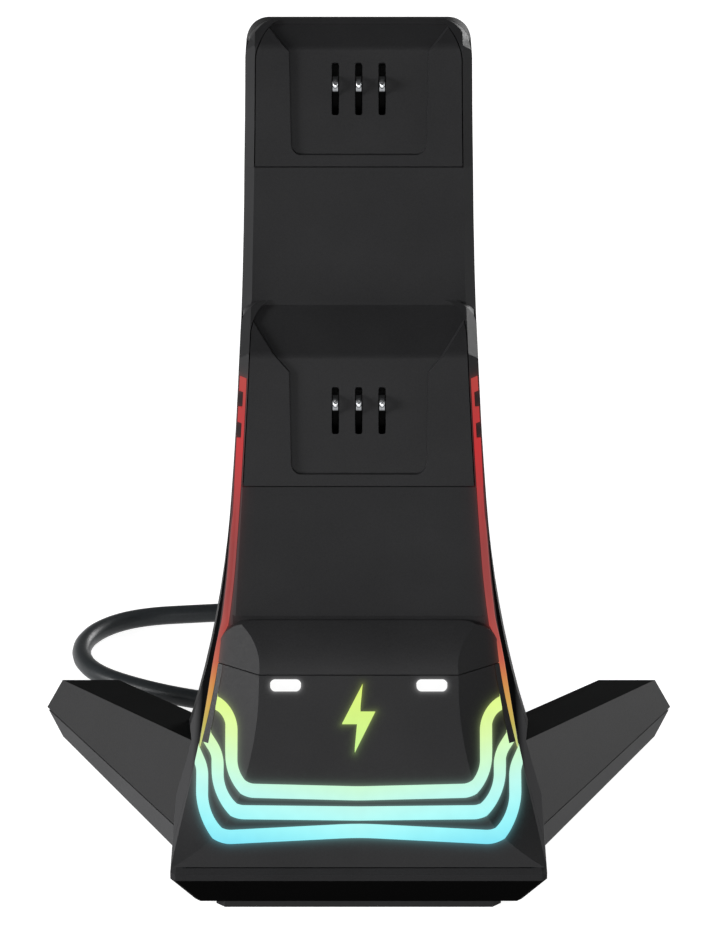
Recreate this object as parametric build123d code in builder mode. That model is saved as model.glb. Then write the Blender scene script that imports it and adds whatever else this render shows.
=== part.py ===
import os
from math import atan2, cos, hypot, radians, sin, tan

from build123d import *

# Controller charging dock: a stepped tower with two cradles on a faceted base with two rear legs.
# Millimetres. +Z is up, the front faces -Y, and the origin is under the middle of the dock.

# Side profile of the tower, from the front lip of the base upwards
DOCK_DEPTH = 129.7
LIP_SETBACK = 2.5
MASK_RISE = 47.9
MASK_LEAN = 30.0
CAP_RISE = 12.1
CAP_RUN = 11.6
CAP_CROWN = 1.0
RIM_STEP = 1.6
LOWER_RISER_RISE = 43.1
UPPER_RISER_RISE = 42.2
RISER_OVERHANG = 4.6
FACE_LEAN = 30.0
LOWER_FACE_RISE = 33.3
LOWER_LEDGE_RUN = 18.6
LOWER_LEDGE_RISE = 9.5
UPPER_FACE_RISE = 30.8
UPPER_LEDGE_RUN = 9.8
UPPER_LEDGE_RISE = 4.9
BEND_R = 4.0
REAR_LIP = 7.0
REAR_TOP_R = 5.0
REAR_WAIST_Y = 14.5
REAR_WAIST_Z = 68.0
REAR_FOOT_Y = 16.5

# Front outline of the tower, half widths
FLARE_FOOT_X = 53.9
FLARE_MID_X = 42.4
FLARE_MID_Z = 57.0
WAIST_X = 37.8
WAIST_Z = 92.0
SIDE_MID_X = 34.0
SIDE_MID_Z = 155.0
SIDE_TOP_X = 32.6
BASE_CORNER_R = 11.5
LOWER_CORNER_R = 7.0
TOP_CORNER_R = 9.0
BEVEL = 2.8
BEVEL_DROP = 14.0

# Walls and seams
STEP_OVERLAP = 12.0
ROOT_RELIEF = 3.0
OPEN_BY = 8.0
WALL = 2.2
CRADLE_WALL = 2.8
SEAM = 0.3
MASK_RETURN = 14.0
BAND_WEB = 3.0

# Facets at the corners of the base
FACET_X = 28.8
FACET_TURN = 36.0
CREASE_START = 52.0
CREASE_SPREAD = [(3.6, 26.4), (8.7, 13.7), (21.9, 1.6), (35.2, -5.0)]

# Cradle pocket, slots and contacts
POCKET_DEPTH = 1.2
POCKET_FOOT_W = 38.6
POCKET_HEAD_W = 40.0
POCKET_FOOT = 3.6
POCKET_R = 2.9
LOWER_FLARE_X = 31.1
LOWER_FLARE_START = 4.5
LOWER_FLARE_DROP = 3.2
UPPER_FLARE_X = 28.5
UPPER_FLARE_START = 1.5
UPPER_FLARE_DROP = -0.5
SLOT_FOOT = 15.5
SLOT_PITCH = 6.7
SLOT_W = 2.1
UPPER_SLOT_L = 15.3
LOWER_SLOT_L = 13.6
LEAF_W = 1.5
LEAF_T = 0.4
LEAF_TIP = 2.2
LEAF_TAIL = 3.0
LEAF_DEPTH = 3.8
LEAF_RISE = 8.8
LEAF_HEEL = 2.0
LEAF_HEEL_RISE = 1.2
LEAF_TAIL_DROP = 0.3
LEAF_NOSE = 2.3
LEAF_HOOK = 2.6
LEAF_BEND_R = 0.8
HOLDER_W = 22.0
HOLDER_H = 8.5
HOLDER_DROP = 7.0
HOLDER_FIT = 0.12
BOARD_H = 28.0
BOARD_T = 1.6
BOARD_DEPTH = 9.0
BOARD_HALF_W = 20.0
BOARD_FOOT = 4.0
POST_R = 2.4
POST_X = 16.5
POST_ROWS = (8.0, 28.0)
SCREW_R = 0.9
SCREW_L = 4.0

# Light board behind the mask, and main board on the bottom shell
LIGHT_BOARD_DEPTH = 11.0
LIGHT_BOARD_HALF_W = 28.0
LIGHT_BOARD_FOOT = 10.0
LIGHT_BOARD_H = 42.0
LIGHT_POST_X = 12.5
LIGHT_POST_ROWS = (34.0, 48.0)
LIGHT_SIZE = 2.8
LIGHT_T = 1.0
MAIN_BOARD_W = 62.0
MAIN_BOARD_L = 44.0
MAIN_BOARD_Y = -20.0
MAIN_BOARD_Z = 14.0
MAIN_POST_IN = 4.0

# Wires between the boards
WIRE_D = 1.2
WIRE_PITCH = 1.4
WIRE_COUNT = 4
WIRE_REACH = 5.0
CONTACT_WIRE_ROW = 7.0
LIGHT_WIRE_ROW = 24.0
UPPER_WIRE_X = -10.0
LOWER_WIRE_X = 0.0
LIGHT_WIRE_X = 14.0
UPPER_WIRE_Y = -2.0
LOWER_WIRE_Y = -7.0
LIGHT_WIRE_Y = -34.0
POWER_WIRE_Y = -2.0

# Power cable
CABLE_R = 3.0
CABLE_X = 8.0
RELIEF_L = 16.0
RELIEF_R = 5.2
RELIEF_WALL = 0.6
RELIEF_NECK_R = 4.4
RELIEF_FLANGE_R = 5.6
RELIEF_FLANGE_T = 1.5
RELIEF_GAP = 0.5
COIL_Y = 113.5
COIL_R = 33.0
COIL_W = 12.6
COIL_H = 12.6
COIL_LIFT = 0.9
TIE_ARC = 15.0
TIE_FIT = 0.1
PLUG_W = 16.0
PLUG_H = 8.0
PLUG_L = 22.0
PLUG_R = 2.5
PLUG_NECK = 5.0
PLUG_TAPER = 0.65
SHELL_W = 12.0
SHELL_H = 4.5
SHELL_L = 12.0
SHELL_T = 0.4
SHELL_R = 0.6
TONGUE_T = 1.8
PLUG_Z = 4.3

# Screws and bosses
JOIN = 0.2
SCREW_FIT = 0.1
HEAD_R = 1.9
HEAD_T = 1.3
CASE_SCREW_R = 1.2
CASE_SCREW_L = 12.0
CASE_HEAD_R = 2.2
CASE_HEAD_T = 1.6
CASE_SINK = 4.0
BOSS_R = 3.4
BOSS_L = 12.0
REAR_SCREW_ZS = (40.0, 205.0)
BASE_SCREW_X = 44.0
BASE_SCREW_YS = (-30.0, 3.0)

# Light openings in the mask: each band is half width, foot, middle, bend, exit height and corner radius
BANDS = [
    (36.8, 31.6, 30.8, 50.2, 50.2, 7.0),
    (40.8, 26.2, 25.8, 38.2, 47.2, 8.0),
    (45.3, 19.6, 21.6, 34.0, 47.5, 8.5),
]
BAND_FLARE = 9.0
BAND_BEND_R = 5.0
BAND_CROWN_R = 120.0
GUIDE_FOOT_Z = 16.0
GUIDE_HEAD_Z = 55.0
GUIDE_GAP_W = 62.0
GUIDE_GAP_Z = 36.0
BAND_W = 3.4
BAND_FIT = 0.12
GUIDE_T = 1.2
PILL_L = 8.9
PILL_H = 2.9
PILL_X = 21.1
PILL_DROP = 2.6
SYMBOL_Z = 49.5
SYMBOL_H = 17.0
SYMBOL_W = 9.5
LIGHT_DEPTH = 0.8
EDGE_LIGHT_T = 1.5
EDGE_LIGHT_TOP = 142.5
EDGE_LIGHT_FOOT = 60.0
EDGE_LIGHT_W = 2.4
EDGE_RIM = 0.4
NOTCH_DROPS = (3.6, 11.4)
CORNER_LIGHT_W = 2.4
CORNER_LIGHT_T = 1.2
CORNER_LIGHT_WEB = 1.2
CORNER_LIGHT_FOOT = 40.0
NOTCH_H = 4.0

# Bottom shell, foot and legs
FOOT_T = 1.9
FOOT_HALF_W = 41.0
FOOT_L = 62.0
FOOT_CUT = 2.5
UNDERCUT_RISE = 7.5
UNDERCUT_X = 7.1
UNDERCUT_Y = 2.0
LIP_H = 1.9
LIP_RISE = 1.2
LIP_HALF_W = 54.1
LIP_CUT = 1.5
LEG_ROOT_Y = -27.2
LEG_CLEAR = 0.6
LEG_WALL = 2.0
LEG_SEAM_ROOT_Z = 5.6
LEG_SEAM_TIP_Z = 3.6
TOE_L = 15.0
PAD_R = 5.0
PAD_SUNK = 0.8
PAD_X = 71.0
PAD_Y = 40.0
LEG_ROOT = [(53.7, LEG_CLEAR), (38.5, 30.7), (19.3, 30.7), (17.0, LEG_CLEAR)]
LEG_TIP = [(98.2, LEG_CLEAR), (91.6, 12.8), (74.2, 12.8), (73.0, LEG_CLEAR)]


def circle_through(a, b, c):
    """centre and radius of the circle through three points"""
    d = 2 * (a[0] * (b[1] - c[1]) + b[0] * (c[1] - a[1]) + c[0] * (a[1] - b[1]))
    sa, sb, sc = (p[0] ** 2 + p[1] ** 2 for p in (a, b, c))
    u = (sa * (b[1] - c[1]) + sb * (c[1] - a[1]) + sc * (a[1] - b[1])) / d
    v = (sa * (c[0] - b[0]) + sb * (a[0] - c[0]) + sc * (b[0] - a[0])) / d
    return u, v, hypot(a[0] - u, a[1] - v)


# Heights of the bottom shell, and corners of the side profile as (y, z)
UNDERCUT_Z = FOOT_T + UNDERCUT_RISE
LIP_Z = UNDERCUT_Z + LIP_H
SHELL_Z = LIP_Z + LIP_RISE
CABLE_Z = SHELL_Z + RELIEF_FLANGE_R + SEAM
front_y = -DOCK_DEPTH / 2
mask_foot = (front_y + LIP_SETBACK, SHELL_Z)
mask_head = (mask_foot[0] + MASK_RISE * tan(radians(MASK_LEAN)), mask_foot[1] + MASK_RISE)
cap_rim = (mask_head[0] + CAP_RUN, mask_head[1] + CAP_RISE)
lower_root = (cap_rim[0] + RIM_STEP, cap_rim[1])
lower_nose = (lower_root[0] - RISER_OVERHANG, lower_root[1] + LOWER_RISER_RISE)
lower_bend = (lower_nose[0] + LOWER_FACE_RISE * tan(radians(FACE_LEAN)), lower_nose[1] + LOWER_FACE_RISE)
lower_back = (lower_bend[0] + LOWER_LEDGE_RUN, lower_bend[1] + LOWER_LEDGE_RISE)
upper_root = lower_back
upper_nose = (upper_root[0] - RISER_OVERHANG, upper_root[1] + UPPER_RISER_RISE)
upper_bend = (upper_nose[0] + UPPER_FACE_RISE * tan(radians(FACE_LEAN)), upper_nose[1] + UPPER_FACE_RISE)
upper_back = (upper_bend[0] + UPPER_LEDGE_RUN, upper_bend[1] + UPPER_LEDGE_RISE)
rear_top = (upper_back[0] + REAR_LIP, upper_back[1])
dock_top = upper_back[1]

flare_foot = (FLARE_FOOT_X, SHELL_Z)
waist = (WAIST_X, WAIST_Z)
low_arc = circle_through(flare_foot, (FLARE_MID_X, FLARE_MID_Z), waist)
high_arc = circle_through(waist, (SIDE_MID_X, SIDE_MID_Z), (SIDE_TOP_X, dock_top))


def side_x(z):
    """half width of the tower at a height"""
    cx, cz, r = low_arc if z < WAIST_Z else high_arc
    return cx - (r ** 2 - (z - cz) ** 2) ** 0.5


def front_outline(top, corner, inset, bottom):
    """front view of the tower up to a height, with rounded top corners, as a sketch"""
    with BuildSketch(Plane.XZ) as outline:
        with BuildLine():
            Line((0, bottom), (FLARE_FOOT_X, bottom))
            if bottom < SHELL_Z:
                Line((FLARE_FOOT_X, bottom), flare_foot)
            if top > WAIST_Z:
                ThreePointArc(flare_foot, (FLARE_MID_X, FLARE_MID_Z), waist)
                middle = (WAIST_Z + top) / 2
                ThreePointArc(waist, (side_x(middle), middle), (side_x(top), top))
            else:
                middle = (SHELL_Z + top) / 2
                ThreePointArc(flare_foot, (side_x(middle), middle), (side_x(top), top))
            Line((side_x(top), top), (0, top))
            Line((0, top), (0, bottom))
        make_face()
        mirror(about=Plane.YZ)
        corners = outline.vertices().filter_by(lambda v: abs(v.Y - top) < 0.01 and abs(v.X) > 1)
        fillet(corners, corner)
        if inset:
            offset(amount=-inset, kind=Kind.INTERSECTION, mode=Mode.REPLACE)
    return outline.sketch


def bevel_cut(start, end, side, inset):
    """what the bevel takes off one side edge of a front face, from the face's foot upwards"""
    middle_y = (start[0] + end[0]) / 2
    middle_z = (start[1] + end[1]) / 2
    lean = atan2(end[0] - start[0], end[1] - start[1])
    slope = atan2(side_x(middle_z - 1) - side_x(middle_z + 1), 2)
    normal = Vector(side * cos(slope), 0, sin(slope)) + Vector(0, -cos(lean), sin(lean))
    spot = Vector(side * (side_x(middle_z) - BEVEL), middle_y, middle_z) - normal.normalized() * inset
    with BuildPart() as cut:
        with BuildSketch(Plane(origin=spot, x_dir=(0, cos(lean), sin(lean)), z_dir=normal)):
            Rectangle(3 * DOCK_DEPTH, 3 * DOCK_DEPTH)
        extrude(amount=DOCK_DEPTH)
        split(bisect_by=Plane.XY.offset(start[1] - BEVEL_DROP), keep=Keep.TOP)
    return cut.part


def profile_prism(points, rounds, inset, open_by=0.0):
    """a side profile drawn right across the tower"""
    foot = SHELL_Z - open_by
    closed = [(y, foot if z == SHELL_Z else z) for y, z in points]
    with BuildPart() as prism:
        with BuildSketch(Plane.YZ) as profile:
            with BuildLine():
                Polyline(*closed, close=True)
            make_face()
            for spot, radius in rounds:
                fillet(profile.vertices().sort_by_distance((spot[0], spot[1], 0))[0], radius)
            if inset:
                offset(amount=-inset, kind=Kind.INTERSECTION, mode=Mode.REPLACE)
        extrude(amount=2 * FLARE_FOOT_X, both=True)
    return prism.part


def outline_prism(top, corner, inset, open_by=0.0):
    """the front outline drawn right through the tower"""
    with BuildPart() as prism:
        with BuildSketch(Plane.XZ):
            add(front_outline(top, corner, inset, SHELL_Z - open_by))
        extrude(amount=DOCK_DEPTH, both=True)
    return prism.part


def slab(points, rounds, top, corner, faces, inset=0.0, open_by=0.0):
    """one step of the tower: a side profile and a front outline, bevelled along its front faces"""
    with BuildPart() as step:
        add(profile_prism(points, rounds, inset, open_by))
        add(outline_prism(top, corner, inset, open_by), mode=Mode.INTERSECT)
        for start, end in faces:
            for side in (1, -1):
                add(bevel_cut(start, end, side, inset), mode=Mode.SUBTRACT)
    return step.part


lower_points = [
    (lower_root[0] + RISER_OVERHANG, SHELL_Z),
    lower_nose,
    lower_bend,
    lower_back,
    (lower_back[0] + STEP_OVERLAP, lower_back[1]),
    (REAR_WAIST_Y, SHELL_Z),
]
lower_rounds = [(lower_bend, BEND_R)]


def lower_slab(inset=0.0, open_by=0.0):
    faces = [(lower_root, lower_nose), (lower_nose, lower_bend), (lower_bend, lower_back)]
    return slab(lower_points, lower_rounds, lower_back[1], LOWER_CORNER_R, faces, inset, open_by)


def upper_slab(inset=0.0, open_by=0.0):
    points = [
        (lower_root[0] + STEP_OVERLAP, SHELL_Z),
        (lower_root[0] + STEP_OVERLAP, lower_root[1]),
        (lower_back[0] + ROOT_RELIEF, lower_bend[1]),
        upper_root,
        upper_nose,
        upper_bend,
        upper_back,
        rear_top,
        (REAR_WAIST_Y, REAR_WAIST_Z),
        (REAR_FOOT_Y, SHELL_Z),
    ]
    faces = [(upper_root, upper_nose), (upper_nose, upper_bend), (upper_bend, upper_back)]
    rounds = [(upper_bend, BEND_R), (rear_top, REAR_TOP_R)]
    return slab(points, rounds, dock_top, TOP_CORNER_R, faces, inset, open_by)


mask_plane = Plane(
    origin=(0, *mask_foot),
    x_dir=(1, 0, 0),
    z_dir=(0, -cos(radians(MASK_LEAN)), sin(radians(MASK_LEAN))),
)
facet_run = Vector(cos(radians(FACET_TURN)), sin(radians(FACET_TURN)), 0)
facet_normal = facet_run.cross(mask_plane.y_dir).normalized()

# What each facet takes off a corner of the base, behind the crease that widens to the bottom corner
with BuildPart() as facet_cut:
    with BuildSketch(mask_plane):
        with BuildLine():
            reach = 2 * FLARE_FOOT_X
            crease = [(FACET_X, CREASE_START)] + [(FACET_X + x, y) for x, y in CREASE_SPREAD]
            Line((FACET_X, reach), crease[0])
            Spline(*crease, tangents=((0, -1), (1, -0.4)))
            Polyline(crease[-1], (reach, crease[-1][1]), (reach, reach), (FACET_X, reach))
        make_face()
    extrude(amount=reach, dir=facet_run, both=True)


def base_block(inset=0.0, open_by=0.0):
    """the faceted body of the base, whole"""
    foot = SHELL_Z - open_by
    foot_y = mask_foot[0] - open_by * tan(radians(MASK_LEAN))
    middle = ((mask_head[0] + cap_rim[0]) / 2 - CAP_CROWN, (mask_head[1] + cap_rim[1]) / 2 + CAP_CROWN)
    back_y = lower_root[0] + 2 * STEP_OVERLAP
    with BuildPart() as block:
        with BuildSketch(Plane.YZ):
            with BuildLine():
                Line((foot_y, foot), mask_head)
                ThreePointArc(mask_head, middle, cap_rim)
                Polyline(cap_rim, (back_y, cap_rim[1]), (back_y, foot), (foot_y, foot))
            make_face()
            if inset:
                offset(amount=-inset, kind=Kind.INTERSECTION, mode=Mode.REPLACE)
        extrude(amount=2 * FLARE_FOOT_X, both=True)
        with BuildSketch(Plane.XZ):
            add(front_outline(cap_rim[1], BASE_CORNER_R, inset, foot))
        extrude(amount=DOCK_DEPTH, both=True, mode=Mode.INTERSECT)
        shifted = facet_cut.part.moved(Location(facet_normal * -inset))
        add(shifted, mode=Mode.SUBTRACT)
        add(shifted.mirror(Plane.YZ), mode=Mode.SUBTRACT)
    return block.part


# The whole body of the tower, and the space inside its walls
lower_step = lower_slab()
upper_step = upper_slab()
base_step = base_block()
with BuildPart() as hull:
    add(upper_step)
    add(lower_step)
    add(base_step)
with BuildPart() as hollow:
    add(upper_slab(WALL, OPEN_BY))
    add(lower_slab(WALL, OPEN_BY))
    add(base_block(WALL, OPEN_BY))

# Seams that part the hull: the rear shell, the openings of the two cradles, and the front of the base
rear_slope = (rear_top[0] - REAR_WAIST_Y) / (rear_top[1] - REAR_WAIST_Z)


def rear_zone(gap):
    """all that lies behind the parting line of the rear shell"""
    line = [(rear_top[0], rear_top[1] + 20), (REAR_WAIST_Y, REAR_WAIST_Z), (REAR_FOOT_Y, 0)]
    shifted = [(y - REAR_LIP + gap, z) for y, z in line]
    shifted[0] = (shifted[0][0] + 20 * rear_slope, shifted[0][1])
    with BuildPart() as zone:
        with BuildSketch(Plane.YZ):
            Polygon(*shifted, (DOCK_DEPTH, 0), (DOCK_DEPTH, rear_top[1] + 20), align=None)
        extrude(amount=2 * FLARE_FOOT_X, both=True)
    return zone.part


def cradle_zone(nose, back, corner, gap):
    """the front opening that a cradle fills"""
    inset = BEVEL + gap
    with BuildPart() as zone:
        with BuildSketch(Plane.XZ):
            add(front_outline(back[1] + inset, corner + inset, inset, SHELL_Z))
        extrude(amount=DOCK_DEPTH, both=True)
        split(bisect_by=Plane.XY.offset(nose[1] + gap), keep=Keep.TOP)
        split(bisect_by=Plane.XZ.offset(-back[0] + gap), keep=Keep.TOP)
    return zone.part


def mask_zone(gap):
    """the front of the base, back to the seam on its side walls"""
    run = (MASK_RETURN - gap) / cos(radians(MASK_LEAN))
    rise = lower_root[1] - SHELL_Z
    foot = (mask_foot[0] + run, SHELL_Z)
    head = (foot[0] + rise * tan(radians(MASK_LEAN)), lower_root[1])
    wall = lower_root[0] - gap
    level = SHELL_Z + (wall - foot[0]) / tan(radians(MASK_LEAN))
    with BuildPart() as zone:
        with BuildSketch(Plane.YZ):
            Polygon((-DOCK_DEPTH, SHELL_Z), foot, (wall, level), (wall, head[1] + 1), (-DOCK_DEPTH, head[1] + 1),
                    align=None)
        extrude(amount=2 * FLARE_FOOT_X, both=True)
    return zone.part


def face_plane(nose):
    """the plane of a slot face, with its origin at the middle of the nose"""
    lean = radians(FACE_LEAN)
    return Plane(origin=(0, *nose), x_dir=(1, 0, 0), z_dir=(0, -cos(lean), sin(lean)))


def pocket_cut(step_floor, nose, bend, back, drop, flare_x, flare_drop):
    """the shallow pocket of a cradle: upright sides, round lower corners and a top that flares out"""
    foot_z = nose[1] + POCKET_FOOT * cos(radians(FACE_LEAN))
    over = back[1] + STEP_OVERLAP
    with BuildPart() as pocket:
        with BuildSketch(Plane.XZ) as outline:
            with BuildLine():
                Polyline(
                    (0, foot_z),
                    (POCKET_FOOT_W / 2, foot_z),
                    (POCKET_HEAD_W / 2, bend[1] - drop),
                    (flare_x, back[1] - flare_drop),
                    (flare_x, over),
                    (0, over),
                    close=True,
                )
            make_face()
            mirror(about=Plane.YZ)
            low = outline.vertices().group_by(Axis.Y)[0]
            fillet(low.filter_by(lambda v: abs(v.X) > 1), POCKET_R)
        extrude(amount=DOCK_DEPTH, both=True)
        add(step_floor, mode=Mode.SUBTRACT)
    return pocket.part


cradle_post_spots = [(x, y) for x in (-POST_X, POST_X) for y in POST_ROWS]


def cradle(step, core, floor, nose, bend, back, corner, slot_l, flare):
    """a cradle insert: slot face and ledge in one wall, with the pocket, the slots and four board posts"""
    plane = face_plane(nose)
    with BuildPart() as insert:
        add(step)
        add(core, mode=Mode.SUBTRACT)
        add(cradle_zone(nose, back, corner, SEAM), mode=Mode.INTERSECT)
        add(rear_zone(-SEAM), mode=Mode.SUBTRACT)
        add(pocket_cut(floor, nose, bend, back, *flare), mode=Mode.SUBTRACT)
        with BuildSketch(plane.offset(-CRADLE_WALL + JOIN)):
            with Locations(*cradle_post_spots):
                Circle(POST_R)
        extrude(amount=-(BOARD_DEPTH - CRADLE_WALL + JOIN))
        with BuildSketch(plane.offset(-BOARD_DEPTH)):
            with Locations(*cradle_post_spots):
                Circle(SCREW_R)
        extrude(amount=SCREW_L, mode=Mode.SUBTRACT)
        with BuildSketch(plane.offset(1)):
            with Locations(*[(i * SLOT_PITCH, SLOT_FOOT + slot_l / 2) for i in (-1, 0, 1)]):
                RectangleRounded(SLOT_W, slot_l, SLOT_W * 0.3)
        extrude(amount=-(CRADLE_WALL + 2), mode=Mode.SUBTRACT)
    return insert.part


def keep_largest(part):
    return part.solids().sort_by(SortBy.VOLUME)[-1]


lower_cradle = cradle(
    lower_step, lower_slab(CRADLE_WALL, OPEN_BY), lower_slab(POCKET_DEPTH), lower_nose, lower_bend, lower_back,
    LOWER_CORNER_R, LOWER_SLOT_L, (LOWER_FLARE_START, LOWER_FLARE_X, LOWER_FLARE_DROP),
)
upper_cradle = cradle(
    upper_step, upper_slab(CRADLE_WALL, OPEN_BY), upper_slab(POCKET_DEPTH), upper_nose, upper_bend, upper_back,
    TOP_CORNER_R, UPPER_SLOT_L, (UPPER_FLARE_START, UPPER_FLARE_X, UPPER_FLARE_DROP),
)


def front_cut(sketch):
    """a front view drawn right through the base"""
    with BuildPart() as prism:
        with BuildSketch(Plane.XZ):
            add(sketch)
        extrude(amount=DOCK_DEPTH, both=True)
    return prism.part


def band_sketch(width):
    """the three light bands, each a U that opens to the side walls, nested and mirrored"""
    with BuildSketch(Plane.XZ) as bands:
        for upright, low, middle, bend, out, corner in BANDS:
            sweep_out = upright + BAND_FLARE
            with BuildLine():
                FilletPolyline(
                    (-sweep_out, out), (-upright, bend), (-upright, low), (0, middle), (upright, low),
                    (upright, bend), (sweep_out, out),
                    radius=[BAND_BEND_R, corner, BAND_CROWN_R, corner, BAND_BEND_R],
                )
            trace(line_width=width)
    return bands.sketch


def pill_sketch(extra):
    with BuildSketch(Plane.XZ) as pills:
        with Locations((-PILL_X, pill_z), (PILL_X, pill_z)):
            SlotOverall(PILL_L + 2 * extra, PILL_H + 2 * extra)
    return pills.sketch


def symbol_sketch(extra):
    """a plain lightning bolt"""
    corners = [(0.12, 0.5), (-0.5, -0.08), (-0.04, -0.08), (-0.12, -0.5), (0.5, 0.1), (0.04, 0.1)]
    with BuildSketch(Plane.XZ) as bolt:
        with Locations((0, SYMBOL_Z)):
            Polygon(*[(x * SYMBOL_W, z * SYMBOL_H) for x, z in corners], align=None)
        if extra:
            offset(amount=extra, kind=Kind.INTERSECTION, mode=Mode.REPLACE)
    return bolt.sketch


pill_z = mask_head[1] - PILL_DROP
light_post_spots = [(x, y) for x in (-LIGHT_POST_X, LIGHT_POST_X) for y in LIGHT_POST_ROWS]
guide_back = base_block(WALL + BAND_FIT + GUIDE_T, OPEN_BY)
front_zone = mask_zone(SEAM)
band_zone = mask_zone(BAND_WEB)


def band_cut(width):
    """the light bands drawn through the mask, short of the webs that hold it together at the sides"""
    with BuildPart() as cut:
        add(front_cut(band_sketch(width)))
        add(band_zone, mode=Mode.INTERSECT)
    return cut.part


def corner_strip(grow):
    """the light strips let into the outer corners of the mask"""
    with BuildPart() as strip:
        add(base_step)
        add(base_block(CORNER_LIGHT_T + grow, OPEN_BY), mode=Mode.SUBTRACT)
        add(outline_prism(cap_rim[1], BASE_CORNER_R, CORNER_LIGHT_W + grow), mode=Mode.SUBTRACT)
        add(mask_zone(CORNER_LIGHT_WEB - grow), mode=Mode.INTERSECT)
        split(bisect_by=Plane.XY.offset(CORNER_LIGHT_FOOT - grow), keep=Keep.TOP)
        split(bisect_by=Plane.XY.offset(mask_head[1] - SEAM / 2 + grow), keep=Keep.BOTTOM)
    return strip.part


corner_lights = corner_strip(0).solids().sort_by(Axis.X)
corner_room = corner_strip(BAND_FIT)

# Front of the base: the cap over the seam, and the mask with its light openings and board posts under it
with BuildPart() as base_skin:
    add(base_step)
    add(base_block(WALL, OPEN_BY), mode=Mode.SUBTRACT)
    add(front_zone, mode=Mode.INTERSECT)
    add(lower_step, mode=Mode.SUBTRACT)
with BuildPart() as base_cap:
    add(base_skin.part)
    split(bisect_by=Plane.XY.offset(mask_head[1] + SEAM / 2), keep=Keep.TOP)
with BuildPart() as front_mask:
    add(base_skin.part)
    split(bisect_by=Plane.XY.offset(mask_head[1] - SEAM / 2), keep=Keep.BOTTOM)
    add(band_cut(BAND_W + 2 * BAND_FIT), mode=Mode.SUBTRACT)
    add(front_cut(pill_sketch(BAND_FIT)), mode=Mode.SUBTRACT)
    add(front_cut(symbol_sketch(BAND_FIT)), mode=Mode.SUBTRACT)
    add(corner_room, mode=Mode.SUBTRACT)
    with BuildSketch(mask_plane.offset(-WALL + JOIN)):
        with Locations(*light_post_spots):
            Circle(POST_R)
    extrude(amount=-(LIGHT_BOARD_DEPTH - WALL + JOIN))
    with BuildSketch(mask_plane.offset(-LIGHT_BOARD_DEPTH)):
        with Locations(*light_post_spots):
            Circle(SCREW_R)
    extrude(amount=SCREW_L, mode=Mode.SUBTRACT)
with BuildPart() as light_ribs:
    add(base_step)
    add(band_cut(BAND_W), mode=Mode.INTERSECT)
with BuildPart() as front_light_guide:
    with BuildSketch(Plane.XZ):
        with Locations((0, (GUIDE_FOOT_Z + GUIDE_HEAD_Z) / 2)):
            Rectangle(4 * FLARE_FOOT_X, GUIDE_HEAD_Z - GUIDE_FOOT_Z)
        with Locations((0, GUIDE_HEAD_Z)):
            Rectangle(GUIDE_GAP_W, 2 * (GUIDE_HEAD_Z - GUIDE_GAP_Z), mode=Mode.SUBTRACT)
    extrude(amount=DOCK_DEPTH, both=True)
    add(base_block(WALL + BAND_FIT, OPEN_BY), mode=Mode.INTERSECT)
    add(light_ribs.part)
    add(guide_back, mode=Mode.SUBTRACT)
    add(front_zone, mode=Mode.INTERSECT)
    add(corner_room, mode=Mode.SUBTRACT)

# Two status lights and the lit window, plugged into the mask from behind
light_plug_back = base_block(WALL + LIGHT_DEPTH, OPEN_BY)


def light_plug(sketch):
    with BuildPart() as plug:
        add(base_step)
        add(light_plug_back, mode=Mode.SUBTRACT)
        add(front_cut(sketch), mode=Mode.INTERSECT)
        add(front_zone, mode=Mode.INTERSECT)
    return plug.part


status_lights = light_plug(pill_sketch(0)).solids().sort_by(Axis.X)
charge_symbol = light_plug(symbol_sketch(0))


# Light strips along the edges of the lower step and down behind the cap, with two notches near the top
def edge_strip(grow, notched):
    strip_foot = EDGE_LIGHT_FOOT - grow
    strip_top = EDGE_LIGHT_TOP + grow
    with BuildPart() as strip:
        add(lower_step)
        add(lower_slab(EDGE_LIGHT_T + grow), mode=Mode.SUBTRACT)
        add(outline_prism(lower_back[1], LOWER_CORNER_R, BEVEL - EDGE_RIM + grow), mode=Mode.SUBTRACT)
        add(profile_prism(lower_points, lower_rounds, EDGE_LIGHT_W + grow), mode=Mode.SUBTRACT)
        add(mask_zone(0), mode=Mode.SUBTRACT)
        split(bisect_by=Plane.XZ.offset(-lower_back[0]), keep=Keep.TOP)
        split(bisect_by=Plane.XY.offset(strip_foot), keep=Keep.TOP)
        split(bisect_by=Plane.XY.offset(strip_top), keep=Keep.BOTTOM)
        if notched:
            for drop in NOTCH_DROPS:
                add(notch(drop), mode=Mode.SUBTRACT)
    return strip.part


def notch(drop):
    with BuildPart() as cut:
        add(profile_prism(lower_points, lower_rounds, EDGE_LIGHT_W / 2))
        split(bisect_by=Plane.XY.offset(EDGE_LIGHT_TOP - drop), keep=Keep.BOTTOM)
        split(bisect_by=Plane.XY.offset(EDGE_LIGHT_TOP - drop - NOTCH_H), keep=Keep.TOP)
    return cut.part


edge_lights = edge_strip(0, True).solids().sort_by(Axis.X)


# Front shell with riser panels and side walls, and rear shell, held together by four screws
def rear_y_at(z):
    """the outside of the back at a height"""
    if z < REAR_WAIST_Z:
        return REAR_FOOT_Y + (REAR_WAIST_Y - REAR_FOOT_Y) * (z - SHELL_Z) / (REAR_WAIST_Z - SHELL_Z)
    return REAR_WAIST_Y + (z - REAR_WAIST_Z) * rear_slope


rear_screw_spots = [
    (side * (side_x(z) - WALL - BOSS_R + JOIN), z) for z in REAR_SCREW_ZS for side in (-1, 1)
]
base_screw_spots = [(side * BASE_SCREW_X, y) for y in BASE_SCREW_YS for side in (-1, 1)]


def rear_rods(radius, start, length):
    """rods along Y at the rear screws, from a distance inside the back wall forwards"""
    with BuildPart() as rods:
        for x, z in rear_screw_spots:
            with BuildSketch(Plane.XZ.offset(-(rear_y_at(z) - start))):
                with Locations((x, z)):
                    Circle(radius)
            extrude(amount=length)
    return rods.part


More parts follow.
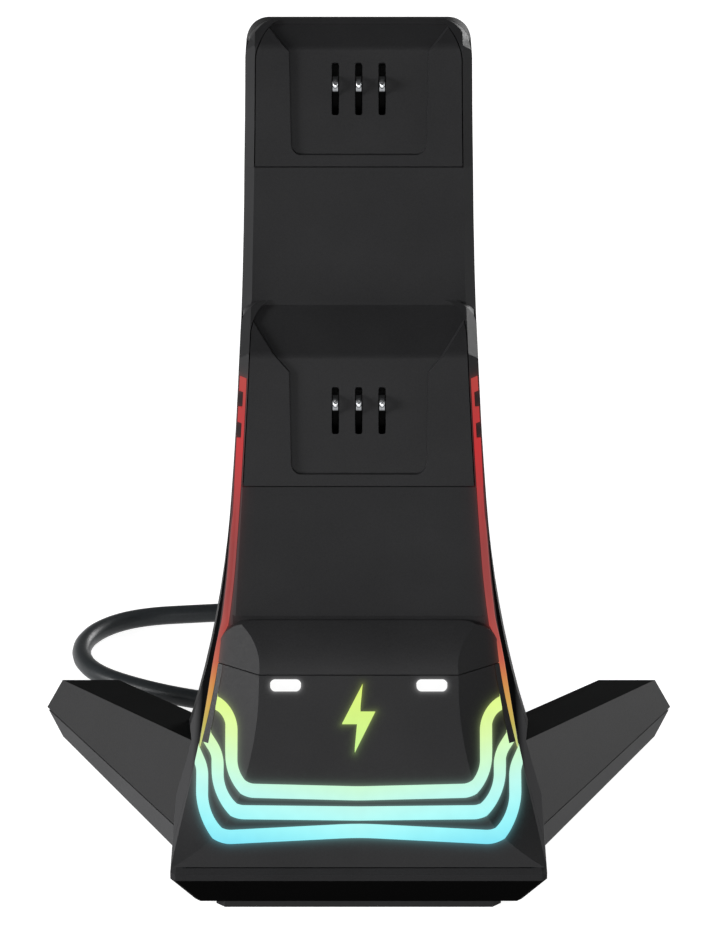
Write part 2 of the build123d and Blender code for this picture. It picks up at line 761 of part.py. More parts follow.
with BuildPart() as front_shell:
    add(hull.part)
    add(hollow.part, mode=Mode.SUBTRACT)
    add(rear_rods(BOSS_R, REAR_LIP - BOSS_R, BOSS_L + BOSS_R))
    add(rear_rods(CASE_SCREW_R, 0, REAR_LIP + BOSS_L - JOIN), mode=Mode.SUBTRACT)
    for x, y in base_screw_spots:
        with BuildSketch(Plane.XY.offset(SHELL_Z)):
            with Locations((x, y)):
                Circle(BOSS_R)
            with Locations((x + (BOSS_R if x > 0 else -BOSS_R), y)):
                Rectangle(2 * BOSS_R, WALL)
        extrude(amount=BOSS_L)
        with BuildSketch(Plane.XY.offset(SHELL_Z)):
            with Locations((x, y)):
                Circle(CASE_SCREW_R)
        extrude(amount=BOSS_L - JOIN, mode=Mode.SUBTRACT)
    add(hull.part, mode=Mode.INTERSECT)
    add(rear_zone(-SEAM), mode=Mode.SUBTRACT)
    add(cradle_zone(lower_nose, lower_back, LOWER_CORNER_R, 0), mode=Mode.SUBTRACT)
    add(cradle_zone(upper_nose, upper_back, TOP_CORNER_R, 0), mode=Mode.SUBTRACT)
    add(mask_zone(0), mode=Mode.SUBTRACT)
    add(edge_strip(BAND_FIT, False), mode=Mode.SUBTRACT)
with BuildPart() as rear_shell:
    add(hull.part)
    add(hollow.part, mode=Mode.SUBTRACT)
    add(rear_rods(BOSS_R, -BOSS_R, REAR_LIP + 2 * BOSS_R))
    add(hull.part, mode=Mode.INTERSECT)
    add(rear_zone(0), mode=Mode.INTERSECT)
    add(rear_rods(CASE_SCREW_R + SCREW_FIT, -BOSS_R, REAR_LIP + 2 * BOSS_R), mode=Mode.SUBTRACT)
    add(rear_rods(CASE_HEAD_R + SCREW_FIT, -BOSS_R, CASE_SINK + BOSS_R), mode=Mode.SUBTRACT)
    with BuildSketch(Plane.XZ.offset(-REAR_FOOT_Y)):
        with Locations((CABLE_X, CABLE_Z)):
            Circle(RELIEF_NECK_R + SCREW_FIT)
    extrude(amount=2 * WALL, both=True, mode=Mode.SUBTRACT)
with BuildPart() as rear_screws:
    add(rear_rods(CASE_HEAD_R, CASE_SINK - CASE_HEAD_T, CASE_HEAD_T))
    add(rear_rods(CASE_SCREW_R - SCREW_FIT, CASE_SINK, CASE_SCREW_L))

# Bottom shell: the lip and the undercut of the base
rear_y = REAR_FOOT_Y


def plan(half_w, front, back, cut):
    """a plan of the base with cut front corners"""
    return [
        (-half_w, back), (-half_w, front + cut), (-half_w + cut, front),
        (half_w - cut, front), (half_w, front + cut), (half_w, back),
    ]


def bottom_solid(inset):
    """the outside of the bottom shell, or the space inside its wall"""
    levels = [
        (FOOT_T, LIP_HALF_W - UNDERCUT_X, front_y + UNDERCUT_Y, UNDERCUT_Y),
        (UNDERCUT_Z, LIP_HALF_W, front_y, 0),
        (LIP_Z, LIP_HALF_W, front_y, 0),
        (SHELL_Z, FLARE_FOOT_X, mask_foot[0], 0),
    ]
    with BuildPart() as solid:
        for (z0, w0, y0, r0), (z1, w1, y1, r1) in zip(levels, levels[1:]):
            with BuildSketch(Plane.XY.offset(z0)):
                Polygon(*plan(w0 - inset, y0 + inset, rear_y - r0 - inset, LIP_CUT), align=None)
            with BuildSketch(Plane.XY.offset(z1)):
                Polygon(*plan(w1 - inset, y1 + inset, rear_y - r1 - inset, LIP_CUT), align=None)
            loft(ruled=True)
    return solid.part


bottom_block = bottom_solid(0)
main_post_spots = [
    (x * (MAIN_BOARD_W / 2 - MAIN_POST_IN), MAIN_BOARD_Y + y * (MAIN_BOARD_L / 2 - MAIN_POST_IN))
    for x in (-1, 1) for y in (-1, 1)
]
with BuildPart() as post_room:
    add(bottom_block)
    with BuildSketch(Plane.XY.offset(SHELL_Z)):
        with Locations((0, MAIN_BOARD_Y)):
            Rectangle(MAIN_BOARD_W, MAIN_BOARD_L)
    extrude(amount=MAIN_BOARD_Z)
with BuildPart() as bottom_shell:
    add(bottom_block)
    add(bottom_solid(WALL).moved(Location((0, 0, WALL))), mode=Mode.SUBTRACT)
    with BuildSketch(Plane.XY.offset(FOOT_T + WALL - JOIN)):
        with Locations(*main_post_spots):
            Circle(POST_R)
    extrude(amount=MAIN_BOARD_Z - FOOT_T - WALL + JOIN)
    with BuildSketch(Plane.XY.offset(MAIN_BOARD_Z)):
        with Locations(*main_post_spots):
            Circle(SCREW_R)
    extrude(amount=-SCREW_L, mode=Mode.SUBTRACT)
    with BuildSketch(Plane.XY.offset(FOOT_T)):
        with Locations(*base_screw_spots):
            Circle(BOSS_R)
    extrude(amount=SHELL_Z - FOOT_T)
    add(post_room.part, mode=Mode.INTERSECT)
    with BuildSketch(Plane.XY.offset(FOOT_T)):
        with Locations(*base_screw_spots):
            Circle(CASE_SCREW_R + SCREW_FIT)
    extrude(amount=SHELL_Z, mode=Mode.SUBTRACT)
    with BuildSketch(Plane.XY.offset(FOOT_T)):
        with Locations(*base_screw_spots):
            Circle(CASE_HEAD_R + SCREW_FIT)
    extrude(amount=CASE_SINK, mode=Mode.SUBTRACT)
with BuildPart() as base_screws:
    with BuildSketch(Plane.XY.offset(FOOT_T + CASE_SINK - CASE_HEAD_T)):
        with Locations(*base_screw_spots):
            Circle(CASE_HEAD_R)
    extrude(amount=CASE_HEAD_T)
    with BuildSketch(Plane.XY.offset(FOOT_T + CASE_SINK)):
        with Locations(*base_screw_spots):
            Circle(CASE_SCREW_R - SCREW_FIT)
    extrude(amount=CASE_SCREW_L)
with BuildPart() as rubber_foot:
    with BuildSketch():
        Polygon(*plan(FOOT_HALF_W, front_y + UNDERCUT_Y, front_y + UNDERCUT_Y + FOOT_L, FOOT_CUT), align=None)
    extrude(amount=FOOT_T)

# Legs: drafted bars that splay back from the base, parted by a seam that runs out at the tip
leg_tip_y = DOCK_DEPTH / 2


def leg_solid(inset, sink):
    with BuildPart() as leg:
        for y, corners in ((LEG_ROOT_Y, LEG_ROOT), (leg_tip_y - inset, LEG_TIP)):
            with BuildSketch(Plane.XZ.offset(-y)):
                Polygon(*[(x, z - sink if z == LEG_CLEAR else z) for x, z in corners], align=None)
                if inset:
                    offset(amount=-inset, kind=Kind.INTERSECTION, mode=Mode.REPLACE)
        loft(ruled=True)
    return leg.part


def below_seam(drop):
    """all that lies under the seam of a leg"""
    far = DOCK_DEPTH
    slope = (LEG_SEAM_TIP_Z - LEG_SEAM_ROOT_Z) / (leg_tip_y - LEG_ROOT_Y)
    with BuildPart() as under:
        with BuildSketch(Plane.YZ):
            Polygon(
                (-far, -far), (far, -far), (far, LEG_SEAM_TIP_Z + slope * (far - leg_tip_y) - drop),
                (-far, LEG_SEAM_ROOT_Z - slope * (far + LEG_ROOT_Y) - drop), align=None,
            )
        extrude(amount=2 * far)
    return under.part


with BuildPart() as base_room:
    add(hull.part)
    add(bottom_block)
    with BuildSketch(Plane.XY.offset(FOOT_T)):
        Polygon(*plan(LIP_HALF_W - UNDERCUT_X, front_y, rear_y, LIP_CUT), align=None)
    extrude(amount=-2 * FOOT_T)
with BuildPart() as toe_cut:
    with BuildSketch(Plane.YZ):
        Polygon((leg_tip_y - TOE_L, LEG_CLEAR), (leg_tip_y + 1, LEG_SEAM_TIP_Z + 0.2), (leg_tip_y + 1, -5),
                (leg_tip_y - TOE_L, -5), align=None)
    extrude(amount=2 * DOCK_DEPTH)
with BuildPart() as leg_cover:
    add(leg_solid(0, 0))
    add(leg_solid(LEG_WALL, 2 * LEG_WALL), mode=Mode.SUBTRACT)
    add(below_seam(0), mode=Mode.SUBTRACT)
    add(base_room.part, mode=Mode.SUBTRACT)
    add(toe_cut.part, mode=Mode.SUBTRACT)
with BuildPart() as leg_sole:
    add(leg_solid(0, 0))
    add(below_seam(SEAM), mode=Mode.INTERSECT)
    add(base_room.part, mode=Mode.SUBTRACT)
    add(toe_cut.part, mode=Mode.SUBTRACT)

leg_pad_spot = (PAD_X, PAD_Y)
with BuildPart() as right_leg_sole:
    add(keep_largest(leg_sole.part))
    with BuildSketch(Plane.XY.offset(LEG_CLEAR)):
        with Locations(leg_pad_spot):
            Circle(PAD_R + SCREW_FIT)
    extrude(amount=PAD_SUNK, mode=Mode.SUBTRACT)
with BuildPart() as leg_pads:
    with BuildSketch():
        with Locations(leg_pad_spot, (-leg_pad_spot[0], leg_pad_spot[1])):
            Circle(PAD_R)
    extrude(amount=LEG_CLEAR + PAD_SUNK)
right_leg_cover = keep_largest(leg_cover.part)


# Contacts: three bent spring leaves in each cradle, standing in a holder on a board
def leaf_plane(nose, x):
    """side view of a leaf: distance up the slot face, and distance out of it"""
    lean = radians(FACE_LEAN)
    return Plane(origin=(x - LEAF_W / 2, *nose), x_dir=(0, sin(lean), cos(lean)), z_dir=(1, 0, 0))


def leaf(nose, column):
    floor = -POCKET_DEPTH
    root = floor - LEAF_DEPTH
    with BuildPart() as contact:
        with BuildSketch(leaf_plane(nose, column * SLOT_PITCH)):
            with BuildLine():
                FilletPolyline(
                    (SLOT_FOOT - LEAF_TAIL, root - LEAF_TAIL_DROP),
                    (SLOT_FOOT, root),
                    (SLOT_FOOT + LEAF_HEEL, root + LEAF_HEEL_RISE),
                    (SLOT_FOOT + LEAF_RISE, floor + LEAF_TIP),
                    (SLOT_FOOT + LEAF_RISE + LEAF_NOSE, floor + LEAF_T),
                    (SLOT_FOOT + LEAF_RISE + LEAF_NOSE + LEAF_T / 2, floor + LEAF_T - LEAF_HOOK),
                    radius=LEAF_BEND_R,
                )
            trace(line_width=LEAF_T)
        extrude(amount=LEAF_W)
    return contact.part


def holder(nose):
    plane = face_plane(nose)
    front = CRADLE_WALL + SEAM
    foot = SLOT_FOOT - HOLDER_DROP
    groove = POCKET_DEPTH + LEAF_DEPTH + LEAF_TAIL_DROP + LEAF_T / 2 + HOLDER_FIT
    with BuildPart() as block:
        with BuildSketch(plane.offset(-BOARD_DEPTH)):
            with Locations((0, foot)):
                Rectangle(HOLDER_W, HOLDER_H, align=(Align.CENTER, Align.MIN))
        extrude(amount=BOARD_DEPTH - front)
        with BuildSketch(plane.offset(-groove)):
            with Locations(*[(i * SLOT_PITCH, SLOT_FOOT - LEAF_TAIL - HOLDER_FIT) for i in (-1, 0, 1)]):
                Rectangle(LEAF_W + 2 * HOLDER_FIT, HOLDER_H, align=(Align.CENTER, Align.MIN))
        extrude(amount=BOARD_DEPTH, mode=Mode.SUBTRACT)
    return block.part


def contact_board(nose):
    with BuildPart() as board:
        with BuildSketch(face_plane(nose).offset(-BOARD_DEPTH)):
            with Locations((0, BOARD_FOOT)):
                Rectangle(2 * BOARD_HALF_W, BOARD_H, align=(Align.CENTER, Align.MIN))
            with Locations(*cradle_post_spots):
                Circle(SCREW_R + SCREW_FIT, mode=Mode.SUBTRACT)
        extrude(amount=-BOARD_T)
    return board.part


def small_screws(plane, spots):
    """board screws whose heads lie behind a board on a plane"""
    with BuildPart() as screws:
        with BuildSketch(plane.offset(-BOARD_T)):
            with Locations(*spots):
                Circle(HEAD_R)
        extrude(amount=-HEAD_T)
        with BuildSketch(plane.offset(-BOARD_T)):
            with Locations(*spots):
                Circle(SCREW_R - SCREW_FIT)
        extrude(amount=BOARD_T + SCREW_L - JOIN)
    return screws.part


with BuildPart() as light_board:
    with BuildSketch(mask_plane.offset(-LIGHT_BOARD_DEPTH)):
        with Locations((0, LIGHT_BOARD_FOOT)):
            Rectangle(2 * LIGHT_BOARD_HALF_W, LIGHT_BOARD_H, align=(Align.CENTER, Align.MIN))
        with Locations(*light_post_spots):
            Circle(SCREW_R + SCREW_FIT, mode=Mode.SUBTRACT)
    extrude(amount=-BOARD_T)
light_row = LIGHT_BOARD_FOOT + 2 * LIGHT_SIZE
light_spots = [(i * LIGHT_BOARD_HALF_W * 0.42, light_row) for i in (-2, -1, 0, 1, 2)]
light_spots += [(0, (SYMBOL_Z - SHELL_Z) / cos(radians(MASK_LEAN)) + LIGHT_SIZE)]
with BuildPart() as board_lights:
    with BuildSketch(mask_plane.offset(-LIGHT_BOARD_DEPTH)):
        with Locations(*light_spots):
            Rectangle(LIGHT_SIZE, LIGHT_SIZE)
    extrude(amount=LIGHT_T)
with BuildPart() as main_board:
    with BuildSketch(Plane.XY.offset(MAIN_BOARD_Z)):
        with Locations((0, MAIN_BOARD_Y)):
            Rectangle(MAIN_BOARD_W, MAIN_BOARD_L)
        with Locations(*main_post_spots):
            Circle(SCREW_R + SCREW_FIT, mode=Mode.SUBTRACT)
    extrude(amount=BOARD_T)
main_screw_plane = Plane(origin=(0, 0, MAIN_BOARD_Z), x_dir=(1, 0, 0), z_dir=(0, 0, -1))
with BuildPart() as board_screws:
    add(small_screws(face_plane(lower_nose).offset(-BOARD_DEPTH), cradle_post_spots))
    add(small_screws(face_plane(upper_nose).offset(-BOARD_DEPTH), cradle_post_spots))
    add(small_screws(mask_plane.offset(-LIGHT_BOARD_DEPTH), light_post_spots))
    add(small_screws(main_screw_plane, [(x, -y) for x, y in main_post_spots]))

# Power cable: strain relief in the rear shell, a free stretch on the floor, a tied coil and the plug
wall_y = rear_y_at(CABLE_Z)


def relief_plane(y):
    """a section of the strain relief at a distance behind the middle of the dock"""
    return Plane(origin=(CABLE_X, y, CABLE_Z), x_dir=(1, 0, 0), z_dir=(0, 1, 0))


with BuildPart() as strain_relief:
    with BuildSketch(relief_plane(wall_y - WALL - RELIEF_GAP)):
        Circle(RELIEF_FLANGE_R)
    extrude(amount=-RELIEF_FLANGE_T)
    with BuildSketch(relief_plane(wall_y - WALL - RELIEF_GAP)):
        Circle(RELIEF_NECK_R)
    extrude(amount=WALL + 2 * RELIEF_GAP)
    with BuildSketch(relief_plane(wall_y + RELIEF_GAP)):
        Circle(RELIEF_R)
    with BuildSketch(relief_plane(wall_y + RELIEF_L)):
        Circle(CABLE_R + RELIEF_WALL)
    loft()
cable_route = [
    (CABLE_X, wall_y + RELIEF_L, CABLE_Z),
    (CABLE_X, 43.0, CABLE_Z),
    (6.0, 53.0, 15.0),
    (0.0, 61.0, 10.5),
    (-9.0, 66.0, 6.5),
    (-19.5, 67.5, 4.0),
    (-31.5, 67.5, CABLE_R),
    (-47.0, 70.0, CABLE_R),
    (-62.5, 76.5, CABLE_R),
    (-76.3, 85.1, CABLE_R),
    (-83.9, 92.7, CABLE_R),
    (-88.0, 102.6, CABLE_R),
    (-88.0, 113.4, CABLE_R),
    (-83.9, 123.3, CABLE_R),
    (-76.3, 130.9, CABLE_R),
    (-66.4, 135.0, CABLE_R),
    (-54.0, 136.6, CABLE_R),
    (-39.0, 138.4, CABLE_R),
    (-20.0, 142.6, CABLE_R + COIL_LIFT / 2),
    (0.0, COIL_Y + COIL_R, CABLE_R + COIL_LIFT),
]
end_route = [
    (COIL_R, COIL_Y, 3 * CABLE_R + COIL_LIFT),
    (33.6, 100.5, 9.2),
    (34.6, 88.0, 6.6),
    (35.0, 75.5, PLUG_Z),
    (35.0, 64.0, PLUG_Z),
]


def bend_radii(points):
    """the largest radius that each corner of a route has room for"""
    radii = []
    for a, b, c in zip(points, points[1:], points[2:]):
        before = Vector(*b) - Vector(*a)
        after = Vector(*c) - Vector(*b)
        half = radians(before.get_angle(after)) / 2
        radii.append(0.45 * min(before.length, after.length) / tan(half))
    return radii


def tube(points, thickness):
    radii = bend_radii(points)
    with BuildPart() as cord:
        with BuildLine() as path:
            FilletPolyline(*points, radius=radii)
        wire = path.wires()[0]
        with BuildSketch(Plane(origin=wire @ 0, z_dir=wire % 0)):
            Circle(thickness / 2)
        sweep(path=wire)
    return cord.part


with BuildPart() as cable_coil:
    with BuildSketch(Plane.XZ.offset(-COIL_Y)):
        with Locations((COIL_R, COIL_LIFT + COIL_H / 2)):
            RectangleRounded(COIL_W, COIL_H, CABLE_R - JOIN)
    revolve(axis=Axis((0, COIL_Y, 0), (0, 0, 1)))
with BuildPart() as power_cable:
    add(tube(cable_route, 2 * CABLE_R))
    add(cable_coil.part, mode=Mode.SUBTRACT)
with BuildPart() as cable_end:
    add(tube(end_route, 2 * CABLE_R))
    add(cable_coil.part, mode=Mode.SUBTRACT)
with BuildPart() as cable_tie:
    with BuildSketch(Plane.XZ.offset(-COIL_Y)):
        with Locations((-COIL_R, COIL_LIFT + COIL_H / 2)):
            RectangleRounded(COIL_W + 2 * COIL_LIFT, COIL_H + 2 * COIL_LIFT, CABLE_R)
            RectangleRounded(COIL_W + 2 * TIE_FIT, COIL_H + 2 * TIE_FIT, CABLE_R - JOIN, mode=Mode.SUBTRACT)
    revolve(axis=Axis((0, COIL_Y, 0), (0, 0, 1)), revolution_arc=TIE_ARC)
plug_x, plug_y, plug_z = end_route[-1]


def plug_plane(distance):
    """a section of the plug at a distance past the end of the cable"""
    return Plane(origin=(plug_x, plug_y - distance, plug_z), x_dir=(1, 0, 0), z_dir=(0, -1, 0))


plug_front = PLUG_NECK + PLUG_L
with BuildPart() as plug_body:
    with BuildSketch(plug_plane(0)):
        RectangleRounded(PLUG_W * PLUG_TAPER, 2 * CABLE_R + RELIEF_WALL, PLUG_R)
    with BuildSketch(plug_plane(PLUG_NECK)):
        RectangleRounded(PLUG_W, PLUG_H, PLUG_R)
    loft()
    with BuildSketch(plug_plane(PLUG_NECK)):
        RectangleRounded(PLUG_W, PLUG_H, PLUG_R)
    extrude(amount=PLUG_L)
with BuildPart() as plug_shell:
    with BuildSketch(plug_plane(plug_front)):
        RectangleRounded(SHELL_W, SHELL_H, SHELL_R)
    extrude(amount=SHELL_L)
    with BuildSketch(plug_plane(plug_front + SHELL_T)):
        RectangleRounded(SHELL_W - 2 * SHELL_T, SHELL_H - 2 * SHELL_T, SHELL_R / 2)
    extrude(amount=SHELL_L, mode=Mode.SUBTRACT)
    with BuildSketch(plug_plane(plug_front)):
        with Locations((0, (SHELL_H - TONGUE_T) / 2 - SHELL_T)):
            Rectangle(SHELL_W - SHELL_T, TONGUE_T)
    extrude(amount=SHELL_L - SHELL_T)

# Wires: flat bundles that leave the main board upwards, for the other boards and for the cable
main_top = MAIN_BOARD_Z + BOARD_T


def wires(points):
    """round wires side by side along one route"""
    with BuildPart() as bundle:
        for i in range(WIRE_COUNT):
            shift = (i - (WIRE_COUNT - 1) / 2) * WIRE_PITCH
            add(tube([(x + shift, y, z) for x, y, z in points], WIRE_D))
    return bundle.part


def board_wires(plane, row, x, y):
    """wires from the back of a board down to the top of the main board"""
    start = plane.offset(-BOARD_T).from_local_coords(Vector(x, row, 0))
    out = plane.offset(-BOARD_T).from_local_coords(Vector(x, row, -WIRE_REACH))
    return wires([tuple(start), tuple(out), (x, y, main_top + WIRE_REACH), (x, y, main_top)])


upper_back_plane = face_plane(upper_nose).offset(-BOARD_DEPTH)
lower_back_plane = face_plane(lower_nose).offset(-BOARD_DEPTH)
light_back_plane = mask_plane.offset(-LIGHT_BOARD_DEPTH)
relief_end = wall_y - WALL - RELIEF_GAP - RELIEF_FLANGE_T
power_wires = wires([
    (CABLE_X, relief_end, CABLE_Z), (CABLE_X, POWER_WIRE_Y, CABLE_Z), (CABLE_X, POWER_WIRE_Y, main_top),
])

pieces = {
    "front_shell": front_shell.part,
    "rear_shell": rear_shell.part,
    "upper_cradle": upper_cradle,
    "lower_cradle": lower_cradle,
    "base_cap": base_cap.part,
    "front_mask": front_mask.part,
    "front_light_guide": front_light_guide.part,
    "left_edge_light": edge_lights[0],
    "right_edge_light": edge_lights[-1],
    "left_corner_light": corner_lights[0],
    "right_corner_light": corner_lights[-1],
    "left_status_light": status_lights[0],
    "right_status_light": status_lights[-1],
    "charge_symbol": charge_symbol,
    "bottom_shell": bottom_shell.part,
    "rubber_foot": rubber_foot.part,
    "right_leg_cover": right_leg_cover,
    "left_leg_cover": right_leg_cover.mirror(Plane.YZ),
    "right_leg_sole": right_leg_sole.part,
    "left_leg_sole": right_leg_sole.part.mirror(Plane.YZ),
    "leg_pads": leg_pads.part,
    "upper_contact_holder": holder(upper_nose),
    "lower_contact_holder": holder(lower_nose),
    "upper_contact_board": contact_board(upper_nose),
    "lower_contact_board": contact_board(lower_nose),
    "light_board": light_board.part,
    "board_lights": board_lights.part,
    "main_board": main_board.part,
    "upper_contact_wires": board_wires(upper_back_plane, CONTACT_WIRE_ROW, UPPER_WIRE_X, UPPER_WIRE_Y),
    "lower_contact_wires": board_wires(lower_back_plane, CONTACT_WIRE_ROW, LOWER_WIRE_X, LOWER_WIRE_Y),
    "light_board_wires": board_wires(light_back_plane, LIGHT_WIRE_ROW, LIGHT_WIRE_X, LIGHT_WIRE_Y),
    "power_wires": power_wires,
    "board_screws": board_screws.part,
    "rear_screws": rear_screws.part,
    "base_screws": base_screws.part,
    "strain_relief": strain_relief.part,
    "power_cable": power_cable.part,
    "cable_coil": cable_coil.part,
    "cable_end": cable_end.part,
    "cable_tie": cable_tie.part,
    "plug_body": plug_body.part,
    "plug_shell": plug_shell.part,
}
for step_name, nose in (("upper", upper_nose), ("lower", lower_nose)):
    for column, column_name in ((-1, "left"), (0, "middle"), (1, "right")):
        pieces[f"{step_name}_{column_name}_contact"] = leaf(nose, column)

os.makedirs("parts", exist_ok=True)
for name, piece in pieces.items():
    piece.label = name
    export_step(piece, f"parts/{name}.step")
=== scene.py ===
# %% [markdown]
# # A charging dock for two game controllers
# The dock is a narrow tower with two stepped cradles, spring contacts in each cradle, a heavy base with
# three light bands, two legs that reach back, and a power lead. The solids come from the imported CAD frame,
# already in place and in metres. This script gives them their finishes, lays the lead, and sets up a plain
# studio with a camera at the viewing angle of a product photograph.

import math

import bmesh
import bpy
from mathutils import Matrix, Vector
from mathutils.bvhtree import BVHTree


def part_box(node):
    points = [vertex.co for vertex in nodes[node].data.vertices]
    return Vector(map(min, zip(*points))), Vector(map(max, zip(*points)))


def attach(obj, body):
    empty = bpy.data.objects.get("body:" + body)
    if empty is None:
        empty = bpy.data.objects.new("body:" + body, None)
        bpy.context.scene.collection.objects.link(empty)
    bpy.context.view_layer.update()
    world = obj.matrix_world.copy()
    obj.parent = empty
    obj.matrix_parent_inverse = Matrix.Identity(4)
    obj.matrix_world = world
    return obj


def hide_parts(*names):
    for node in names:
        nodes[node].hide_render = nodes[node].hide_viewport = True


MM = 0.001

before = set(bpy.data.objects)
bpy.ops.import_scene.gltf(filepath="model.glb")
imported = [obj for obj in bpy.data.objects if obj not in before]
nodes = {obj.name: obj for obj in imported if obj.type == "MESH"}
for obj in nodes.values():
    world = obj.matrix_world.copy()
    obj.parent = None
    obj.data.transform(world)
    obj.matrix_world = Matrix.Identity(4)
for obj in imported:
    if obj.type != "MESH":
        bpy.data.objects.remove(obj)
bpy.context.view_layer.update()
scene = bpy.context.scene
scene.view_settings.view_transform = "Standard"

# %% [markdown]
# ## The camera
# A product photograph like this one is taken with a long lens from well in front and a little above, so the
# tower's sides stay almost parallel. A long lens far away gives that flat perspective. The camera looks
# along +Y and down, at a point about half way up the tower.

# %% The camera in front of the dock
CAMERA_PLACE = Vector((0.37, -1410.1, 696.0)) * MM
CAMERA_TARGET = Vector((0.37, -24.25, 122.0)) * MM
CAMERA_LENS = 203.66

camera_data = bpy.data.cameras.new("studio_camera")
camera_data.lens = CAMERA_LENS
camera_data.sensor_width = 36.0
camera_data.clip_end = 20.0
camera = bpy.data.objects.new("studio_camera", camera_data)
camera.location = CAMERA_PLACE
camera.rotation_euler = (CAMERA_TARGET - CAMERA_PLACE).to_track_quat("-Z", "Y").to_euler()
scene.collection.objects.link(camera)
scene.camera = camera
print("camera distance in metres:", round((CAMERA_TARGET - CAMERA_PLACE).length, 3))

# %% [markdown]
# ## The power lead
# The lead is a round, satin black cable. It leaves a tapered sleeve low on the back, drops to the table,
# swings out to the left in one wide bend and comes back behind the tower, where the length that is left
# over lies in a small coil under a tie. One NURBS curve with few control points keeps the line smooth, as a
# stiff cable lies, and a round bevel gives it its thickness: the bevel is one metre, and each point's
# radius brings it down to the cable's own, so that the curve's box fits the cable too. The coil's turns are
# points of the same curve.

# %% The lead's route on the table
LEAD_DIAMETER = 6.0 * MM
lead_route = [
    (8, 32.287, 18.4), (8, 43, 18.4), (6, 53, 15), (0, 61, 10.5), (-9, 66, 6.5), (-19.5, 67.5, 4),
    (-31.5, 67.5, 3), (-47, 70, 3), (-62.5, 76.5, 3), (-76.3, 85.1, 3), (-83.9, 92.7, 3),
    (-88, 102.6, 3), (-88, 113.4, 3), (-83.9, 123.3, 3), (-76.3, 130.9, 3), (-66.4, 135, 3),
    (-54, 136.6, 3), (-39, 138.4, 3), (-20, 144.8, 3.5),
]
lead_tail = [(36.2, 100.5, 9.9), (35.6, 88, 7.2), (35, 75.5, 4.3), (35, 64, 4.3)]

# %% The coil's turns
COIL_CENTRE = (0.0, 113.5)
COIL_TURNS = 3.25
POINTS_A_TURN = 16
OUTER_R, INNER_R = 36.8, 30.5
LOW_Z, HIGH_Z = 3.9, 10.0
coil_path = [
    (0.0, OUTER_R, LOW_Z), (0.6, OUTER_R, LOW_Z), (0.88, INNER_R, LOW_Z), (1.45, INNER_R, LOW_Z),
    (1.7, INNER_R, HIGH_Z), (2.28, INNER_R, HIGH_Z), (2.5, OUTER_R, HIGH_Z), (COIL_TURNS, OUTER_R, HIGH_Z),
]


def coil_place(turn):
    """The lead's centre after that many turns, between the named places of the coil's path."""
    for (t0, r0, z0), (t1, r1, z1) in zip(coil_path, coil_path[1:]):
        if turn <= t1:
            share = (turn - t0) / (t1 - t0)
            radius = r0 + (r1 - r0) * share
            height = z0 + (z1 - z0) * share
            break
    angle = math.radians(90.0 - 360.0 * turn)
    x = COIL_CENTRE[0] + radius * math.cos(angle)
    y = COIL_CENTRE[1] + radius * math.sin(angle)
    return (x, y, height)


coil_steps = int(COIL_TURNS * POINTS_A_TURN)
coil_points = [coil_place(step / POINTS_A_TURN) for step in range(coil_steps + 1)]
lead_points = [Vector(point) * MM for point in lead_route + coil_points + lead_tail]
print("control points of the lead:", len(lead_points))

# %% The lead as a curve
lead_curve = bpy.data.curves.new("power_lead", "CURVE")
lead_curve.dimensions = "3D"
lead_curve.resolution_u = 6
lead_curve.bevel_depth = 1.0
lead_curve.bevel_resolution = 5
lead_curve.use_fill_caps = True
lead_spline = lead_curve.splines.new("NURBS")
lead_spline.points.add(len(lead_points) - 1)
for spline_point, place in zip(lead_spline.points, lead_points):
    spline_point.co = (*place, 1.0)
    spline_point.radius = LEAD_DIAMETER / 2
lead_spline.order_u = 3
lead_spline.use_endpoint_u = True
lead = bpy.data.objects.new("power_lead", lead_curve)
scene.collection.objects.link(lead)
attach(lead, "dock")
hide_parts("power_cable", "cable_coil", "cable_end")
print("lead length in metres:", round(lead_spline.calc_length(), 3))

# %% [markdown]
# ## Helpers for the finishes
# Colours are written as sRGB hex values, as a colour picker shows them, and Blender's shaders want linear
# light. One function turns one into the other. A second adds a node to a tree, sets it up and links it, so
# that a finish reads from top to bottom as a list of what each node does.

# %% Colour and node helpers
def linear(hex_colour):
    """A colour such as #2b2b2d as linear red, green, blue and alpha."""
    shares = [int(hex_colour[place:place + 2], 16) / 255 for place in (1, 3, 5)]
    light = [share / 12.92 if share <= 0.04045 else ((share + 0.055) / 1.055) ** 2.4 for share in shares]
    return (*light, 1.0)


def add(tree, kind, inputs=None, stops=None, **settings):
    """One node, with its settings, its inputs (values or links) and, on a ramp, its colour stops."""
    made = tree.nodes.new(kind)
    for name, value in settings.items():
        setattr(made, name, value)
    for name, value in (inputs or {}).items():
        if isinstance(value, bpy.types.NodeSocket):
            tree.links.new(value, made.inputs[name])
        else:
            made.inputs[name].default_value = value
    for place, (position, colour) in enumerate(stops or []):
        ramp = made.color_ramp
        stop = ramp.elements[place] if place < 2 else ramp.elements.new(position)
        stop.position = position
        stop.color = linear(colour)
    return made


def new_finish(name):
    """An empty material: its tree and its Principled shader."""
    material = bpy.data.materials.new(name)
    material.use_nodes = True
    return material, material.node_tree, material.node_tree.nodes["Principled BSDF"]


def dress(material, *names):
    """Puts a finish on CAD nodes, by name."""
    for name in names:
        mesh = nodes[name].data
        mesh.materials.clear()
        mesh.materials.append(material)
    print(material.name, "on", len(names), "nodes")


# %% [markdown]
# ## Spark-textured ABS
# The shells are injection-moulded ABS from a tool with a spark-eroded texture: a matt charcoal skin with a
# fine, even grain of about half a millimetre. The grain is a noise bump at that size, and a second, broad
# noise shifts the colour a little, as moulded skins vary where the plastic flowed and cooled.

# %% The moulded shells
FLOW_SPOT = 30.0
GLOSS_SPREAD = 0.06


